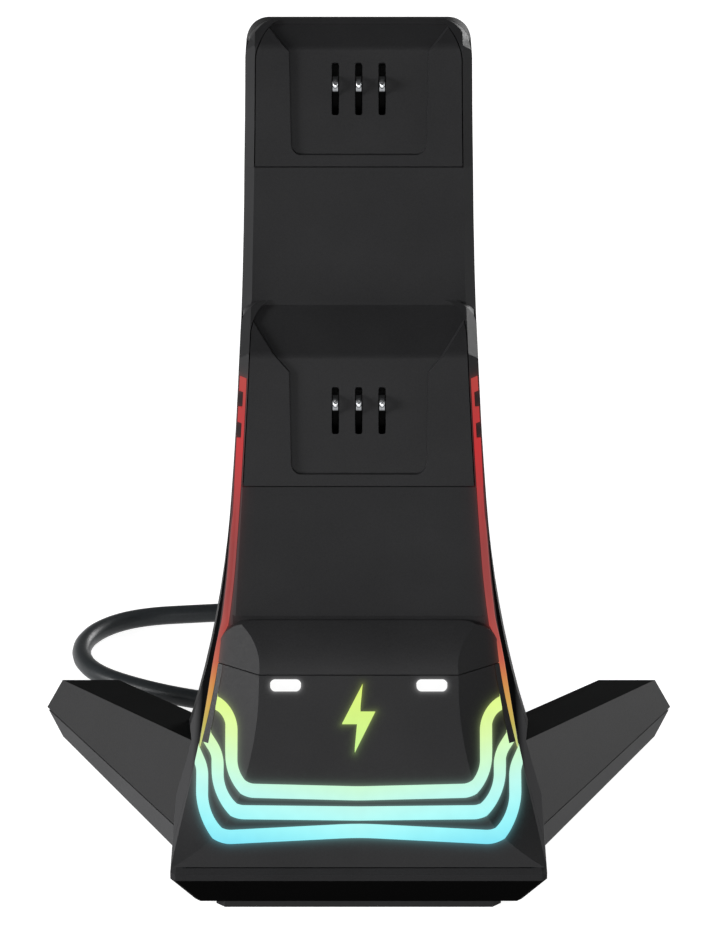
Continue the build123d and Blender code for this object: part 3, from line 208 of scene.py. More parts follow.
def textured_abs(name, dark, light, roughness, specular, grain=0.45, depth=0.05, glow=False):
    """Moulded plastic with a fine spark texture: grain and depth in millimetres."""
    material, tree, shader = new_finish(name)
    place = add(tree, "ShaderNodeTexCoord").outputs["Object"]
    fine = add(tree, "ShaderNodeTexNoise", {"Vector": place, "Scale": 1 / (grain * MM), "Detail": 3.0})
    broad = add(tree, "ShaderNodeTexNoise", {"Vector": place, "Scale": 1 / (FLOW_SPOT * MM), "Detail": 2.0})
    shift = add(tree, "ShaderNodeMath", {0: fine.outputs["Fac"], 1: broad.outputs["Fac"]}, operation="ADD")
    share = add(
        tree, "ShaderNodeMapRange",
        {"Value": shift.outputs[0], "From Min": 0.6, "From Max": 1.4, "To Min": 0.0, "To Max": 1.0},
    )
    colour = add(
        tree, "ShaderNodeValToRGB", {"Fac": share.outputs["Result"]}, stops=[(0.0, dark), (1.0, light)]
    )
    gloss = add(
        tree, "ShaderNodeMapRange",
        {"Value": fine.outputs["Fac"], "From Min": 0.3, "From Max": 0.7,
         "To Min": roughness - GLOSS_SPREAD, "To Max": roughness + GLOSS_SPREAD},
    )
    skin = add(
        tree, "ShaderNodeBump",
        {"Height": fine.outputs["Fac"], "Strength": 0.35, "Distance": depth * MM},
    )
    tree.links.new(colour.outputs["Color"], shader.inputs["Base Color"])
    tree.links.new(gloss.outputs["Result"], shader.inputs["Roughness"])
    tree.links.new(skin.outputs["Normal"], shader.inputs["Normal"])
    shader.inputs["IOR"].default_value = 1.53
    shader.inputs["Specular IOR Level"].default_value = specular
    # Painted glow: the plastic itself emits the colour of the glow attribute.
    if glow:
        spill = add(tree, "ShaderNodeAttribute", attribute_name="glow")
        tree.links.new(spill.outputs["Color"], shader.inputs["Emission Color"])
        shader.inputs["Emission Strength"].default_value = 1.0
    return material


SHELL_DARK, SHELL_LIGHT = "#252526", "#2f2f30"
shell_abs = textured_abs("spark_textured_abs", SHELL_DARK, SHELL_LIGHT, roughness=0.5, specular=0.1)
# The shell's finish with the painted glow round the lights.
glow_painted_abs = textured_abs("spark_textured_abs_painted_glow", SHELL_DARK, SHELL_LIGHT, 0.5, 0.1, glow=True)
# The sides of the tower take a near-black tone: painted shade, darker than the shell under the same light.
side_wall_painted_abs = textured_abs("side_abs_painted_shade_and_light", "#0e0e0f", "#131314", roughness=0.75, specular=0.0, glow=True)
# The rear shell takes a darker tone than the front: painted shade, which keeps its lip along the top of the
# tower from showing as a lit rim.
rear_shade_abs = textured_abs("rear_textured_abs_painted_shade", "#1a1a1b", "#232324", roughness=0.55, specular=0.05)
sole_abs = textured_abs("sole_textured_abs", "#333334", "#404041", roughness=0.6, specular=0.3, grain=0.8)
dress(shell_abs, "front_shell", "upper_cradle", "lower_cradle", "base_cap", "front_mask")
dress(rear_shade_abs, "rear_shell")
dress(sole_abs, "left_leg_sole", "right_leg_sole")

# %% [markdown]
# ## Painted shade on the bottom shell and the tower's sides
# The bottom shell is textured on its lip, and under it a near-black, matt tone is painted shade where the
# shell faces down to the table. A plane in Object coordinates finds that area. In the same way the sides of
# the tower are painted near-black high up, as painted shade, and lighter low down, where the legs begin, as
# painted light that matches the lit faces of the legs. The CAD solids stay whole and keep their shape.

# %% Painted shade on the bottom shell and the tower's sides
def painted_tone(material, normal, start, end, colour, roughness):
    """Blends a finish into a painted tone along a direction, between two distances from the origin."""
    tree = material.node_tree
    shader = tree.nodes["Principled BSDF"]
    place = add(tree, "ShaderNodeTexCoord").outputs["Object"]
    along = add(tree, "ShaderNodeVectorMath", {0: place, 1: normal}, operation="DOT_PRODUCT")
    share = add(
        tree, "ShaderNodeMapRange", {"Value": along.outputs["Value"], "From Min": start, "From Max": end}
    ).outputs["Result"]
    tone = shader.inputs["Base Color"].links[0].from_socket
    dull = shader.inputs["Roughness"].links[0].from_socket
    colours = add(tree, "ShaderNodeMix", {0: share, 6: tone, 7: linear(colour)}, data_type="RGBA")
    dullness = add(tree, "ShaderNodeMix", {0: share, 2: dull, 3: roughness}, data_type="FLOAT")
    tree.links.new(colours.outputs[2], shader.inputs["Base Color"])
    tree.links.new(dullness.outputs[0], shader.inputs["Roughness"])


DOWN = (0.0, 0.0, -1.0)
LIP_FOOT, LIP_FADE = 9.4 * MM, 0.05 * MM
LEG_HEAD, LEG_FADE = 30.0 * MM, 10.0 * MM
under_painted_shade_abs = textured_abs("bottom_textured_abs_painted_shade", "#2b2b2c", "#353536", roughness=0.55, specular=0.03)
# Painted shade: below the lip the bottom shell turns near-black and matt.
painted_tone(under_painted_shade_abs, DOWN, -LIP_FOOT, -LIP_FOOT + LIP_FADE, "#030303", 0.9)
# Low on the sides, where the legs begin, the tone turns lighter: painted light that matches the lit faces of
# the legs.
painted_tone(side_wall_painted_abs, DOWN, -LEG_HEAD - LEG_FADE, -LEG_HEAD, "#4e4e4f", 0.6)
dress(under_painted_shade_abs, "bottom_shell")

# %% [markdown]
# ## The legs
# The legs' broad faces are textured and catch the light of the table. Their tops are almost black: the room
# above is dark, and the rest of that dark is painted shade, a near-black tone on the faces that look up. The
# two areas differ in shine as well as colour, so they are two materials, and a joined copy of each leg cover
# carries them face by face. The faces are flat, so the copy is shaded flat.

# %% The leg covers
leg_abs = textured_abs("leg_textured_abs", "#121213", "#181819", roughness=0.46, specular=0.22)
leg_top_shade_abs = textured_abs("leg_top_abs_painted_shade", "#0b0c0c", "#0f1010", roughness=0.9, specular=0.02)


def joined_copy(name, piece_name):
    """A CAD node's triangles in a mesh of their own, joined where they meet, ready to be changed."""
    source = nodes[name].data
    mesh = bpy.data.meshes.new(piece_name)
    mesh.from_pydata(
        [vertex.co for vertex in source.vertices], [], [face.vertices[:] for face in source.polygons]
    )
    form = bmesh.new()
    form.from_mesh(mesh)
    bmesh.ops.remove_doubles(form, verts=form.verts, dist=0.001 * MM)
    form.normal_update()
    return mesh, form


def moulded_piece(mesh, form, name, finishes):
    """Closes a changed copy: its mesh, its finishes, and what it rides on and stands for."""
    form.to_mesh(mesh)
    form.free()
    for finish in finishes:
        mesh.materials.append(finish)
    piece = bpy.data.objects.new(mesh.name, mesh)
    scene.collection.objects.link(piece)
    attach(piece, "dock")
    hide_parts(name)
    print(mesh.name, "triangles:", len(mesh.polygons))


FACES_UP = 0.9
for side in ("left", "right"):
    name = f"{side}_leg_cover"
    mesh, form = joined_copy(name, f"{side}_leg_moulding")
    for face in form.faces:
        # Faces that look up take the painted shade of the leg tops.
        face.material_index = 1 if face.normal.z > FACES_UP else 0
    moulded_piece(mesh, form, name, [leg_abs, leg_top_shade_abs])

# %% [markdown]
# ## Rubber feet
# The foot under the base and the pads under the legs are pressed silicone rubber: black-grey, with almost
# no shine and a faint talc-like bloom.

# %% The rubber foot and pads
rubber, tree, shader = new_finish("pressed_silicone_rubber")
place = add(tree, "ShaderNodeTexCoord").outputs["Object"]
bloom = add(tree, "ShaderNodeTexNoise", {"Vector": place, "Scale": 1 / (1.2 * MM), "Detail": 4.0})
tone = add(
    tree, "ShaderNodeValToRGB", {"Fac": bloom.outputs["Fac"]}, stops=[(0.3, "#131314"), (0.7, "#1a1a1b")]
)
skin = add(
    tree, "ShaderNodeBump", {"Height": bloom.outputs["Fac"], "Strength": 0.3, "Distance": 0.05 * MM}
)
tree.links.new(tone.outputs["Color"], shader.inputs["Base Color"])
tree.links.new(skin.outputs["Normal"], shader.inputs["Normal"])
shader.inputs["Roughness"].default_value = 0.8
shader.inputs["Specular IOR Level"].default_value = 0.3
dress(rubber, "rubber_foot", "leg_pads")

# %% [markdown]
# ## Lit acrylic
# The bands, edge strips, pills and the lightning mark are milky acrylic, lit from behind by coloured chips.
# Light spreads inside the plastic, so the colour runs smoothly along a band. The colour follows the height
# above the table, read from Object coordinates, because the bands run from lime at their high ends to blue
# at the bottom. The guides in the corners of the base are smoked and stay unlit.

# %% Light colours by height
LIFT_HALF = 34.0


def light_by_height(tree, low, high, stops, lift=0.0):
    """The glowing colour at each height, from low to high, lifted near the middle (all in millimetres)."""
    place = add(tree, "ShaderNodeTexCoord").outputs["Object"]
    parts = add(tree, "ShaderNodeSeparateXYZ", {"Vector": place})
    aside = add(tree, "ShaderNodeMath", {0: parts.outputs["X"]}, operation="ABSOLUTE")
    raised = add(
        tree, "ShaderNodeMapRange",
        {"Value": aside.outputs[0], "From Min": 0.0, "From Max": LIFT_HALF * MM,
         "To Min": lift * MM, "To Max": 0.0},
    )
    height = add(tree, "ShaderNodeMath", {0: parts.outputs["Z"], 1: raised.outputs["Result"]})
    share = add(
        tree, "ShaderNodeMapRange", {"Value": height.outputs[0], "From Min": low * MM, "From Max": high * MM}
    )
    return add(tree, "ShaderNodeValToRGB", {"Fac": share.outputs["Result"]}, stops=stops).outputs["Color"]


BAND_LOW, BAND_HIGH, BAND_LIFT = 18.0, 56.0, 4.0
band_stops = [
    (0.0, "#7fe6fa"), (1.0, "#e6fd86"), (0.12, "#9af8fe"), (0.23, "#b0fefc"), (0.36, "#c2fdf0"),
    (0.5, "#d0fed4"), (0.68, "#defdad"), (0.84, "#e2fd92"),
]
STRIP_LOW, STRIP_HIGH = 38.0, 142.0
strip_stops = [
    (0.0, "#cfe38c"), (1.0, "#b83f3a"), (0.06, "#c6b85a"), (0.12, "#d6a552"), (0.17, "#d68a4c"),
    (0.22, "#c8644c"), (0.28, "#b24e48"), (0.4, "#9d4341"), (0.55, "#99403f"), (0.68, "#a83a3a"),
    (0.83, "#c62d30"), (0.92, "#b93434"),
]
MARK_LOW, MARK_HIGH = 40.0, 58.0
mark_stops = [(0.0, "#cdfc97"), (1.0, "#e2f876")]

# %% The acrylic finish
def lit_acrylic(name, low, high, stops, strength, lift=0.0):
    """Milky acrylic with light behind it, coloured by height."""
    material, tree, shader = new_finish(name)
    colour = light_by_height(tree, low, high, stops, lift)
    place = add(tree, "ShaderNodeTexCoord").outputs["Object"]
    cloud = add(tree, "ShaderNodeTexNoise", {"Vector": place, "Scale": 1 / (4 * MM), "Detail": 1.0})
    level = add(
        tree, "ShaderNodeMapRange",
        {"Value": cloud.outputs["Fac"], "To Min": strength * 0.96, "To Max": strength * 1.04},
    )
    tree.links.new(colour, shader.inputs["Emission Color"])
    tree.links.new(level.outputs["Result"], shader.inputs["Emission Strength"])
    shader.inputs["Base Color"].default_value = linear("#161616")
    shader.inputs["Roughness"].default_value = 0.6
    shader.inputs["IOR"].default_value = 1.49
    shader.inputs["Specular IOR Level"].default_value = 0.1
    return material


band_acrylic = lit_acrylic("band_acrylic", BAND_LOW, BAND_HIGH, band_stops, 0.97, BAND_LIFT)
strip_acrylic = lit_acrylic("strip_acrylic", STRIP_LOW, STRIP_HIGH, strip_stops, 0.95)
corner_acrylic = textured_abs("smoked_corner_acrylic", SHELL_DARK, SHELL_LIGHT, roughness=0.4, specular=0.1)
pill_acrylic = lit_acrylic("pill_acrylic", 56.0, 60.0, [(0.0, "#fbfbfb"), (1.0, "#ffffff")], 1.0)
mark_acrylic = lit_acrylic("mark_acrylic", MARK_LOW, MARK_HIGH, mark_stops, 0.95)
dress(band_acrylic, "front_light_guide")
dress(strip_acrylic, "left_edge_light", "right_edge_light")
dress(corner_acrylic, "left_corner_light", "right_corner_light")
dress(pill_acrylic, "left_status_light", "right_status_light")
dress(mark_acrylic, "charge_symbol")

# %% [markdown]
# ## The bead along the outer corners
# Below the cradle the red strip runs on down the outer corner of the tower, past the cap and along the
# corner of the base, as one thin bead that narrows to nothing beside the lowest band. A curve along the
# corner with a round bevel gives it, and the radius at each point gives the taper. It is turned into a
# mesh, and the right bead is the mirror image of the left one.

# %% The corner beads
BEAD_R = 1.0 * MM
bead_path = [
    (-35.0, -23.6, 112, 0.3), (-35.6, -22.7, 104, 0.85), (-36.2, -21.9, 96, 1.0), (-36.65, -21.3, 90, 1.0),
    (-37.2, -20.6, 84, 1.0), (-38.1, -19.4, 76, 1.0), (-38.7, -19.2, 71, 1.0), (-40.1, -22.2, 66, 1.0),
    (-41.4, -25.4, 60, 1.0), (-42.9, -29.2, 52, 0.85), (-44.7, -33.4, 44, 0.6), (-46.0, -36.6, 38.5, 0.25),
]


def corner_bead(name, side):
    """A lit bead along one outer corner: side is 1 for the left and -1 for the right."""
    curve = bpy.data.curves.new(name, "CURVE")
    curve.dimensions = "3D"
    curve.resolution_u = 6
    curve.bevel_depth = BEAD_R
    curve.bevel_resolution = 4
    curve.use_fill_caps = True
    spline = curve.splines.new("NURBS")
    spline.points.add(len(bead_path) - 1)
    for point, (x, y, z, share) in zip(spline.points, bead_path):
        point.co = (side * x * MM, y * MM, z * MM, 1.0)
        point.radius = share
    spline.order_u = 3
    spline.use_endpoint_u = True
    holder = bpy.data.objects.new(name + "_line", curve)
    scene.collection.objects.link(holder)
    mesh = bpy.data.meshes.new_from_object(
        holder.evaluated_get(bpy.context.evaluated_depsgraph_get())
    )
    bpy.data.objects.remove(holder)
    mesh.name = name
    mesh.materials.clear()
    mesh.materials.append(strip_acrylic)
    bead = bpy.data.objects.new(name, mesh)
    scene.collection.objects.link(bead)
    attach(bead, "dock")
    return bead


beads = [corner_bead("left_corner_bead", 1), corner_bead("right_corner_bead", -1)]
print("bead faces:", [len(bead.data.polygons) for bead in beads])

# %% [markdown]
# ## Painted glow round the lights on the black plastic
# Round each lit opening a soft rim of colour about a millimetre wide shows on the black plastic. It is
# painted light, not real scattering, which would be slow and noisy on something so small: each point of the
# mask, cap and front shell gets the colour of the nearest light, fading with distance, as a colour attribute
# that the moulded finish emits as a faint painted glow. The CAD triangles are long, so a copy of each piece
# is first cut finer near the lights.

# %% Where the lights are
SPILL_GAIN, SPILL_REACH = 0.16, 0.8
MARK_GAIN, MARK_REACH = 0.14, 0.7
PILL_REACH = 0.45
FACES_FRONT = -0.2
COVER_START, COVER_REACH = 0.05 * MM, 30.0 * MM


def colour_at(stops, share):
    """The colour of a ramp at a share of its length, in linear light."""
    ordered = sorted(stops)
    for (low, first), (high, second) in zip(ordered, ordered[1:]):
        if share <= high:
            blend = min(max((share - low) / (high - low), 0.0), 1.0)
            return Vector(linear(first)[:3]).lerp(Vector(linear(second)[:3]), blend)
    return Vector(linear(ordered[-1][1])[:3])


def band_colour(place):
    lift = BAND_LIFT * max(0.0, 1.0 - abs(place.x) / (LIFT_HALF * MM))
    return colour_at(band_stops, (place.z / MM + lift - BAND_LOW) / (BAND_HIGH - BAND_LOW))


def strip_colour(place):
    return colour_at(strip_stops, (place.z / MM - STRIP_LOW) / (STRIP_HIGH - STRIP_LOW))


def mark_colour(place):
    return colour_at(mark_stops, (place.z / MM - MARK_LOW) / (MARK_HIGH - MARK_LOW))


def pill_colour(place):
    return Vector((1.0, 1.0, 1.0))


def triangle_tree(mesh, faces):
    return BVHTree.FromPolygons([vertex.co for vertex in mesh.vertices], [face.vertices[:] for face in faces])


def shown_faces(mesh, cover):
    """The faces of a light that look forward with nothing of the cover in front of them."""
    shown = []
    for face in mesh.polygons:
        start = face.center + face.normal * COVER_START
        covered = cover.ray_cast(start, face.normal, COVER_REACH)[0]
        if face.normal.y < FACES_FRONT and covered is None:
            shown.append(face)
    return shown


def light_source(name, cover, colour, gain, reach):
    """One light: its shown faces, its colour, and how strong and how far (millimetres) it spills."""
    mesh = nodes[name].data
    return (triangle_tree(mesh, shown_faces(mesh, cover)), colour, gain, reach * MM)


mask_tree = triangle_tree(nodes["front_mask"].data, nodes["front_mask"].data.polygons)
shell_tree = triangle_tree(nodes["front_shell"].data, nodes["front_shell"].data.polygons)
strip_lights = [
    light_source("left_edge_light", shell_tree, strip_colour, SPILL_GAIN, SPILL_REACH),
    light_source("right_edge_light", shell_tree, strip_colour, SPILL_GAIN, SPILL_REACH),
    *[
        (triangle_tree(bead.data, bead.data.polygons), strip_colour, SPILL_GAIN, SPILL_REACH * MM)
        for bead in beads
    ],
]
mask_lights = [
    light_source("front_light_guide", mask_tree, band_colour, SPILL_GAIN, SPILL_REACH),
    light_source("charge_symbol", mask_tree, mark_colour, MARK_GAIN, MARK_REACH),
    light_source("left_status_light", mask_tree, pill_colour, SPILL_GAIN, PILL_REACH),
    light_source("right_status_light", mask_tree, pill_colour, SPILL_GAIN, PILL_REACH),
    *strip_lights[2:],
]
print("lights that spill:", len(strip_lights) + len(mask_lights) - 2)

# %% Finer copies with the painted glow
FINE_EDGE = 0.7 * MM
FINE_SHARE = 0.7
CUT_ROUNDS = 9
SPILL_END = 8
FACES_ASIDE = 0.9
CREASE = math.radians(20)


def light_distance(place, lights):
    """How far the nearest light is, in metres."""
    return min(light[0].find_nearest(place)[3] or 0.0 for light in lights)


def cut_fine(form, lights):
    """Halves the edges that are long for their distance from a light, in a few rounds."""
    for _ in range(CUT_ROUNDS):
        long_edges = []
        for edge in form.edges:
            middle = (edge.verts[0].co + edge.verts[1].co) / 2
            room = max(FINE_EDGE, FINE_SHARE * light_distance(middle, lights))
            if edge.calc_length() > room:
                long_edges.append(edge)
        if not long_edges:
            break
        bmesh.ops.subdivide_edges(form, edges=long_edges, cuts=1)
        bmesh.ops.triangulate(form, faces=[face for face in form.faces if len(face.verts) > 3])


def painted_spill(place, lights):
    """The painted glow at a place: the colour of the nearby lights, fading with distance."""
    total = Vector((0.0, 0.0, 0.0))
    for tree, colour, gain, reach in lights:
        nearest, _, _, distance = tree.find_nearest(place)
        if distance < SPILL_END * reach:
            total += colour(nearest) * gain * math.exp(-distance / reach)
    return total


def lit_copy(name, lights):
    """A finer copy of a moulded node that carries the painted glow, and the painted shade on its sides, in
    place of the node.
    """
    mesh, form = joined_copy(name, name + "_moulding")
    cut_fine(form, lights)
    form.normal_update()
    for face in form.faces:
        # Faces that look to the side take the painted shade of the tower's sides.
        face.material_index = 1 if abs(face.normal.x) > FACES_ASIDE else 0
    moulded_piece(mesh, form, name, [glow_painted_abs, side_wall_painted_abs])
    glow = mesh.attributes.new("glow", "FLOAT_COLOR", "POINT")
    values = []
    for vertex in mesh.vertices:
        values.extend((*painted_spill(vertex.co, lights), 1.0))
    glow.data.foreach_set("color", values)
    mesh.shade_smooth()
    mesh.set_sharp_from_angle(angle=CREASE)


lit_copy("front_mask", mask_lights)
lit_copy("base_cap", strip_lights[2:])
lit_copy("front_shell", strip_lights)

# %% [markdown]
# ## Plated metals
# The six contacts are stamped from spring bronze and nickel plated: a soft grey-silver shine with fine
# rolling lines. The screws are zinc-plated steel. One function makes each plated metal, with the lines as a
# stretched noise.

# %% Plated metals
def plated_metal(name, dark, light, roughness, line=0.12):
    """Plated sheet metal with fine lines along its height, line in millimetres."""
    material, tree, shader = new_finish(name)
    place = add(tree, "ShaderNodeTexCoord").outputs["Object"]
    along = add(
        tree, "ShaderNodeMapping",
        {"Vector": place, "Scale": (1 / (line * MM), 1 / (line * MM), 1 / (line * 20 * MM))},
    )
    lines = add(tree, "ShaderNodeTexNoise", {"Vector": along.outputs["Vector"], "Scale": 1.0, "Detail": 3.0})
    tone = add(
        tree, "ShaderNodeValToRGB", {"Fac": lines.outputs["Fac"]}, stops=[(0.25, dark), (0.75, light)]
    )
    skin = add(
        tree, "ShaderNodeBump", {"Height": lines.outputs["Fac"], "Strength": 0.15, "Distance": 0.02 * MM}
    )
    tree.links.new(tone.outputs["Color"], shader.inputs["Base Color"])
    tree.links.new(skin.outputs["Normal"], shader.inputs["Normal"])
    shader.inputs["Metallic"].default_value = 1.0
    shader.inputs["Roughness"].default_value = roughness
    return material


screw_zinc = plated_metal("zinc_plated_steel", "#9b9ca0", "#c3c4c6", 0.35, line=0.3)
plug_steel = plated_metal("nickel_plated_steel", "#b4b4b4", "#d5d5d5", 0.25, line=0.2)
dress(screw_zinc, "rear_screws", "base_screws", "board_screws")
dress(plug_steel, "plug_shell")

# %% [markdown]
# ## Case screws
# Four screws hold the rear shell and four the bottom shell: tapping screws with a tapered pan head and a
# cross recess. One Geometry Nodes tree makes a screw from a cone, two crossed bars that are cut out of it,
# and a shank, and sets it on each place. The places are read from the CAD screws, so the new heads sit in
# the same holes.

# %% The tree that makes a screw
screw_sizes = {
    "Head Radius": 2.2, "Head Top Radius": 1.75, "Head Height": 1.6,
    "Shank Radius": 1.1, "Shank Length": 12.0,
    "Recess Length": 2.6, "Recess Width": 0.6, "Recess Depth": 0.9,
}
screw_tree = bpy.data.node_groups.new("case_screw", "GeometryNodeTree")
screw_tree.interface.new_socket("Places", in_out="INPUT", socket_type="NodeSocketGeometry")
for label in screw_sizes:
    screw_tree.interface.new_socket(label, in_out="INPUT", socket_type="NodeSocketFloat")
screw_tree.interface.new_socket("Turn", in_out="INPUT", socket_type="NodeSocketVector")
screw_tree.interface.new_socket("Finish", in_out="INPUT", socket_type="NodeSocketMaterial")
screw_tree.interface.new_socket("Screws", in_out="OUTPUT", socket_type="NodeSocketGeometry")
given = add(screw_tree, "NodeGroupInput").outputs
head = add(
    screw_tree, "GeometryNodeMeshCone",
    {"Vertices": 32, "Radius Top": given["Head Top Radius"], "Radius Bottom": given["Head Radius"],
     "Depth": given["Head Height"]},
)
cut = add(screw_tree, "ShaderNodeMath", {0: given["Recess Depth"], 1: 2.0}, operation="MULTIPLY").outputs[0]
bars = []
for labels in (("Recess Length", "Recess Width"), ("Recess Width", "Recess Length")):
    size = add(screw_tree, "ShaderNodeCombineXYZ", {"X": given[labels[0]], "Y": given[labels[1]], "Z": cut})
    bar = add(screw_tree, "GeometryNodeMeshCube", {"Size": size.outputs[0]})
    lift = add(screw_tree, "ShaderNodeCombineXYZ", {"Z": given["Head Height"]})
    bars.append(add(
        screw_tree, "GeometryNodeTransform", {"Geometry": bar.outputs["Mesh"], "Translation": lift.outputs[0]}
    ))
recessed = add(
    screw_tree, "GeometryNodeMeshBoolean", {"Mesh 1": head.outputs["Mesh"]}, operation="DIFFERENCE"
)
for bar in bars:
    screw_tree.links.new(bar.outputs[0], recessed.inputs["Mesh 2"])
shank = add(
    screw_tree, "GeometryNodeMeshCylinder",
    {"Vertices": 20, "Radius": given["Shank Radius"], "Depth": given["Shank Length"]},
)
half = add(screw_tree, "ShaderNodeMath", {0: given["Shank Length"], 1: -0.5}, operation="MULTIPLY").outputs[0]
drop = add(screw_tree, "ShaderNodeCombineXYZ", {"Z": half})
hung = add(
    screw_tree, "GeometryNodeTransform", {"Geometry": shank.outputs["Mesh"], "Translation": drop.outputs[0]}
)
whole = add(screw_tree, "GeometryNodeJoinGeometry")
screw_tree.links.new(recessed.outputs["Mesh"], whole.inputs[0])
screw_tree.links.new(hung.outputs[0], whole.inputs[0])
placed = add(
    screw_tree, "GeometryNodeInstanceOnPoints",
    {"Points": given["Places"], "Instance": whole.outputs[0], "Rotation": given["Turn"]},
)
real = add(screw_tree, "GeometryNodeRealizeInstances", {"Geometry": placed.outputs[0]})
plated = add(
    screw_tree, "GeometryNodeSetMaterial", {"Geometry": real.outputs[0], "Material": given["Finish"]}
)
made = add(screw_tree, "NodeGroupOutput")
screw_tree.links.new(plated.outputs[0], made.inputs["Screws"])

# %% Screws in their places
def separate_boxes(name):
    """The lowest and highest corner of each separate solid of a node."""
    mesh, form = joined_copy(name, name + "_scan")
    boxes, seen = [], set()
    for first in form.verts:
        if first in seen:
            continue
        group, queue = [], [first]
        seen.add(first)
        while queue:
            vertex = queue.pop()
            group.append(vertex.co)
            for edge in vertex.link_edges:
                other = edge.other_vert(vertex)
                if other not in seen:
                    seen.add(other)
                    queue.append(other)
        boxes.append([Vector(map(pick, zip(*group))) for pick in (min, max)])
    form.free()
    bpy.data.meshes.remove(mesh)
    return boxes


def case_screws(name, outward, turn):
    """Screws with recessed heads in place of a CAD node: outward is the way the heads look."""
    places = []
    for low, high in separate_boxes(name):
        middle = (low + high) / 2
        reach = max(outward.dot(low), outward.dot(high)) - screw_sizes["Head Height"] * MM
        places.append(middle + outward * (reach - outward.dot(middle)))
    mesh = bpy.data.meshes.new(name + "_places")
    mesh.from_pydata(places, [], [])
    holder = bpy.data.objects.new(name + "_places", mesh)
    scene.collection.objects.link(holder)
    modifier = holder.modifiers.new("case_screw", "NODES")
    modifier.node_group = screw_tree
    for socket in screw_tree.interface.items_tree:
        if socket.name in screw_sizes:
            modifier[socket.identifier] = screw_sizes[socket.name] * MM
        elif socket.name == "Turn":
            modifier[socket.identifier] = turn
        elif socket.name == "Finish":
            modifier[socket.identifier] = screw_zinc
    depsgraph = bpy.context.evaluated_depsgraph_get()
    screws_mesh = bpy.data.meshes.new_from_object(holder.evaluated_get(depsgraph))
    bpy.data.objects.remove(holder)
    screws_mesh.name = name + "_recessed"
    screws = bpy.data.objects.new(name + "_recessed", screws_mesh)
    scene.collection.objects.link(screws)
    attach(screws, "dock")
    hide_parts(name)
    print(screws.name, "places:", len(places), "faces:", len(screws_mesh.polygons))


case_screws("rear_screws", Vector((0, 1, 0)), (-math.pi / 2, 0.0, 0.0))
case_screws("base_screws", Vector((0, 0, -1)), (math.pi, 0.0, 0.0))

# %% [markdown]
# ## The contacts
# Each contact is a bent leaf whose foot lies in the dark of its slot. Only its nose shines. The leaf below
# the nose is painted near-black, as painted shade of the slot, and a height in Object coordinates parts it
# from the bright nickel, so the CAD leaf stays whole.

# %% Contacts with plated noses and painted shade below them
NOSE, NOSE_FADE = 3.3 * MM, 0.5 * MM


def plated_nose_painted_shade(name, top):
    """Spring bronze with bright nickel on the nose and painted shade below it: top is the height of the nose.
    """
    material = plated_metal(name, "#7d7f82", "#a4a6a8", 0.3)
    tree = material.node_tree
    shader = tree.nodes["Principled BSDF"]
    place = add(tree, "ShaderNodeTexCoord").outputs["Object"]
    height = add(tree, "ShaderNodeSeparateXYZ", {"Vector": place}).outputs["Z"]
    share = add(
        tree, "ShaderNodeMapRange",
        {"Value": height, "From Min": top - NOSE - NOSE_FADE, "From Max": top - NOSE},
    )
    nickel = shader.inputs["Base Color"].links[0].from_socket
    # Below the nose the leaf is near-black: painted shade of the slot.
    tone = add(
        tree, "ShaderNodeMix", {0: share.outputs["Result"], 6: linear("#060606"), 7: nickel}, data_type="RGBA"
    )
    tree.links.new(tone.outputs[2], shader.inputs["Base Color"])
    return material


for row in ("upper", "lower"):
    row_names = [f"{row}_{column}_contact" for column in ("left", "middle", "right")]
    row_top = max(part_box(name)[1][2] for name in row_names)
    dress(plated_nose_painted_shade(f"{row}_nickel_bronze_painted_shade", row_top), *row_names)

# %% [markdown]
# ## Pressed noses
# Where each contact touches a controller, a small dimple is pressed into the leaf, with a coined flat on
# top, and it is the only bright spot in the slot. It is a rounded form on the ridge of the leaf, sunk half
# way in, and it moves with its contact.

# %% The noses on the contacts
NOSE_HALF = Vector((0.92, 1.5, 0.85)) * MM
COINED = 0.82
NOSE_SUNK, RIDGE_DEPTH = 0.35 * MM, 0.1 * MM
CRADLE_LEAN = math.radians(30)
face_out = Vector((0.0, -math.cos(CRADLE_LEAN), math.sin(CRADLE_LEAN)))
face_up = Vector((0.0, math.sin(CRADLE_LEAN), math.cos(CRADLE_LEAN)))
contact_names = [name for name in nodes if name.endswith("_contact")]
nose_nickel = plated_metal("bright_nickel_nose", "#b4b7ba", "#d9dbdd", 0.2, line=0.2)
for name in contact_names:
    reaches = [(face_out.dot(vertex.co), vertex.co) for vertex in nodes[name].data.vertices]
    furthest = max(reach for reach, _ in reaches)
    ridge = [place for reach, place in reaches if reach > furthest - RIDGE_DEPTH]
    centre = sum(ridge, Vector()) / len(ridge) - face_out * NOSE_SUNK
    form = bmesh.new()
    bmesh.ops.create_uvsphere(form, u_segments=24, v_segments=14, radius=1.0)
    for vertex in form.verts:
        across, along, out = vertex.co.x, vertex.co.y, min(vertex.co.z, COINED)
        vertex.co = (
            centre + Vector((1, 0, 0)) * across * NOSE_HALF.x + face_up * along * NOSE_HALF.y
            + face_out * out * NOSE_HALF.z
        )
    bmesh.ops.recalc_face_normals(form, faces=form.faces)
    mesh = bpy.data.meshes.new(name.replace("contact", "nose"))
    form.to_mesh(mesh)
    form.free()
    mesh.materials.append(nose_nickel)
    mesh.shade_smooth()
    mesh.set_sharp_from_angle(angle=math.radians(30))
    nose = bpy.data.objects.new(mesh.name, mesh)
    scene.collection.objects.link(nose)
    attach(nose, name)
print("noses:", len(contact_names))

# %% [markdown]
# ## Boards, holders, wires and light chips
# These sit inside the shells and show only through the slots. The boards are glass-epoxy under solder mask,
# black behind the slots and green in the base. They take the moulded finish with other colours and a
# coarser grain, because their skins are also thin, even coats.

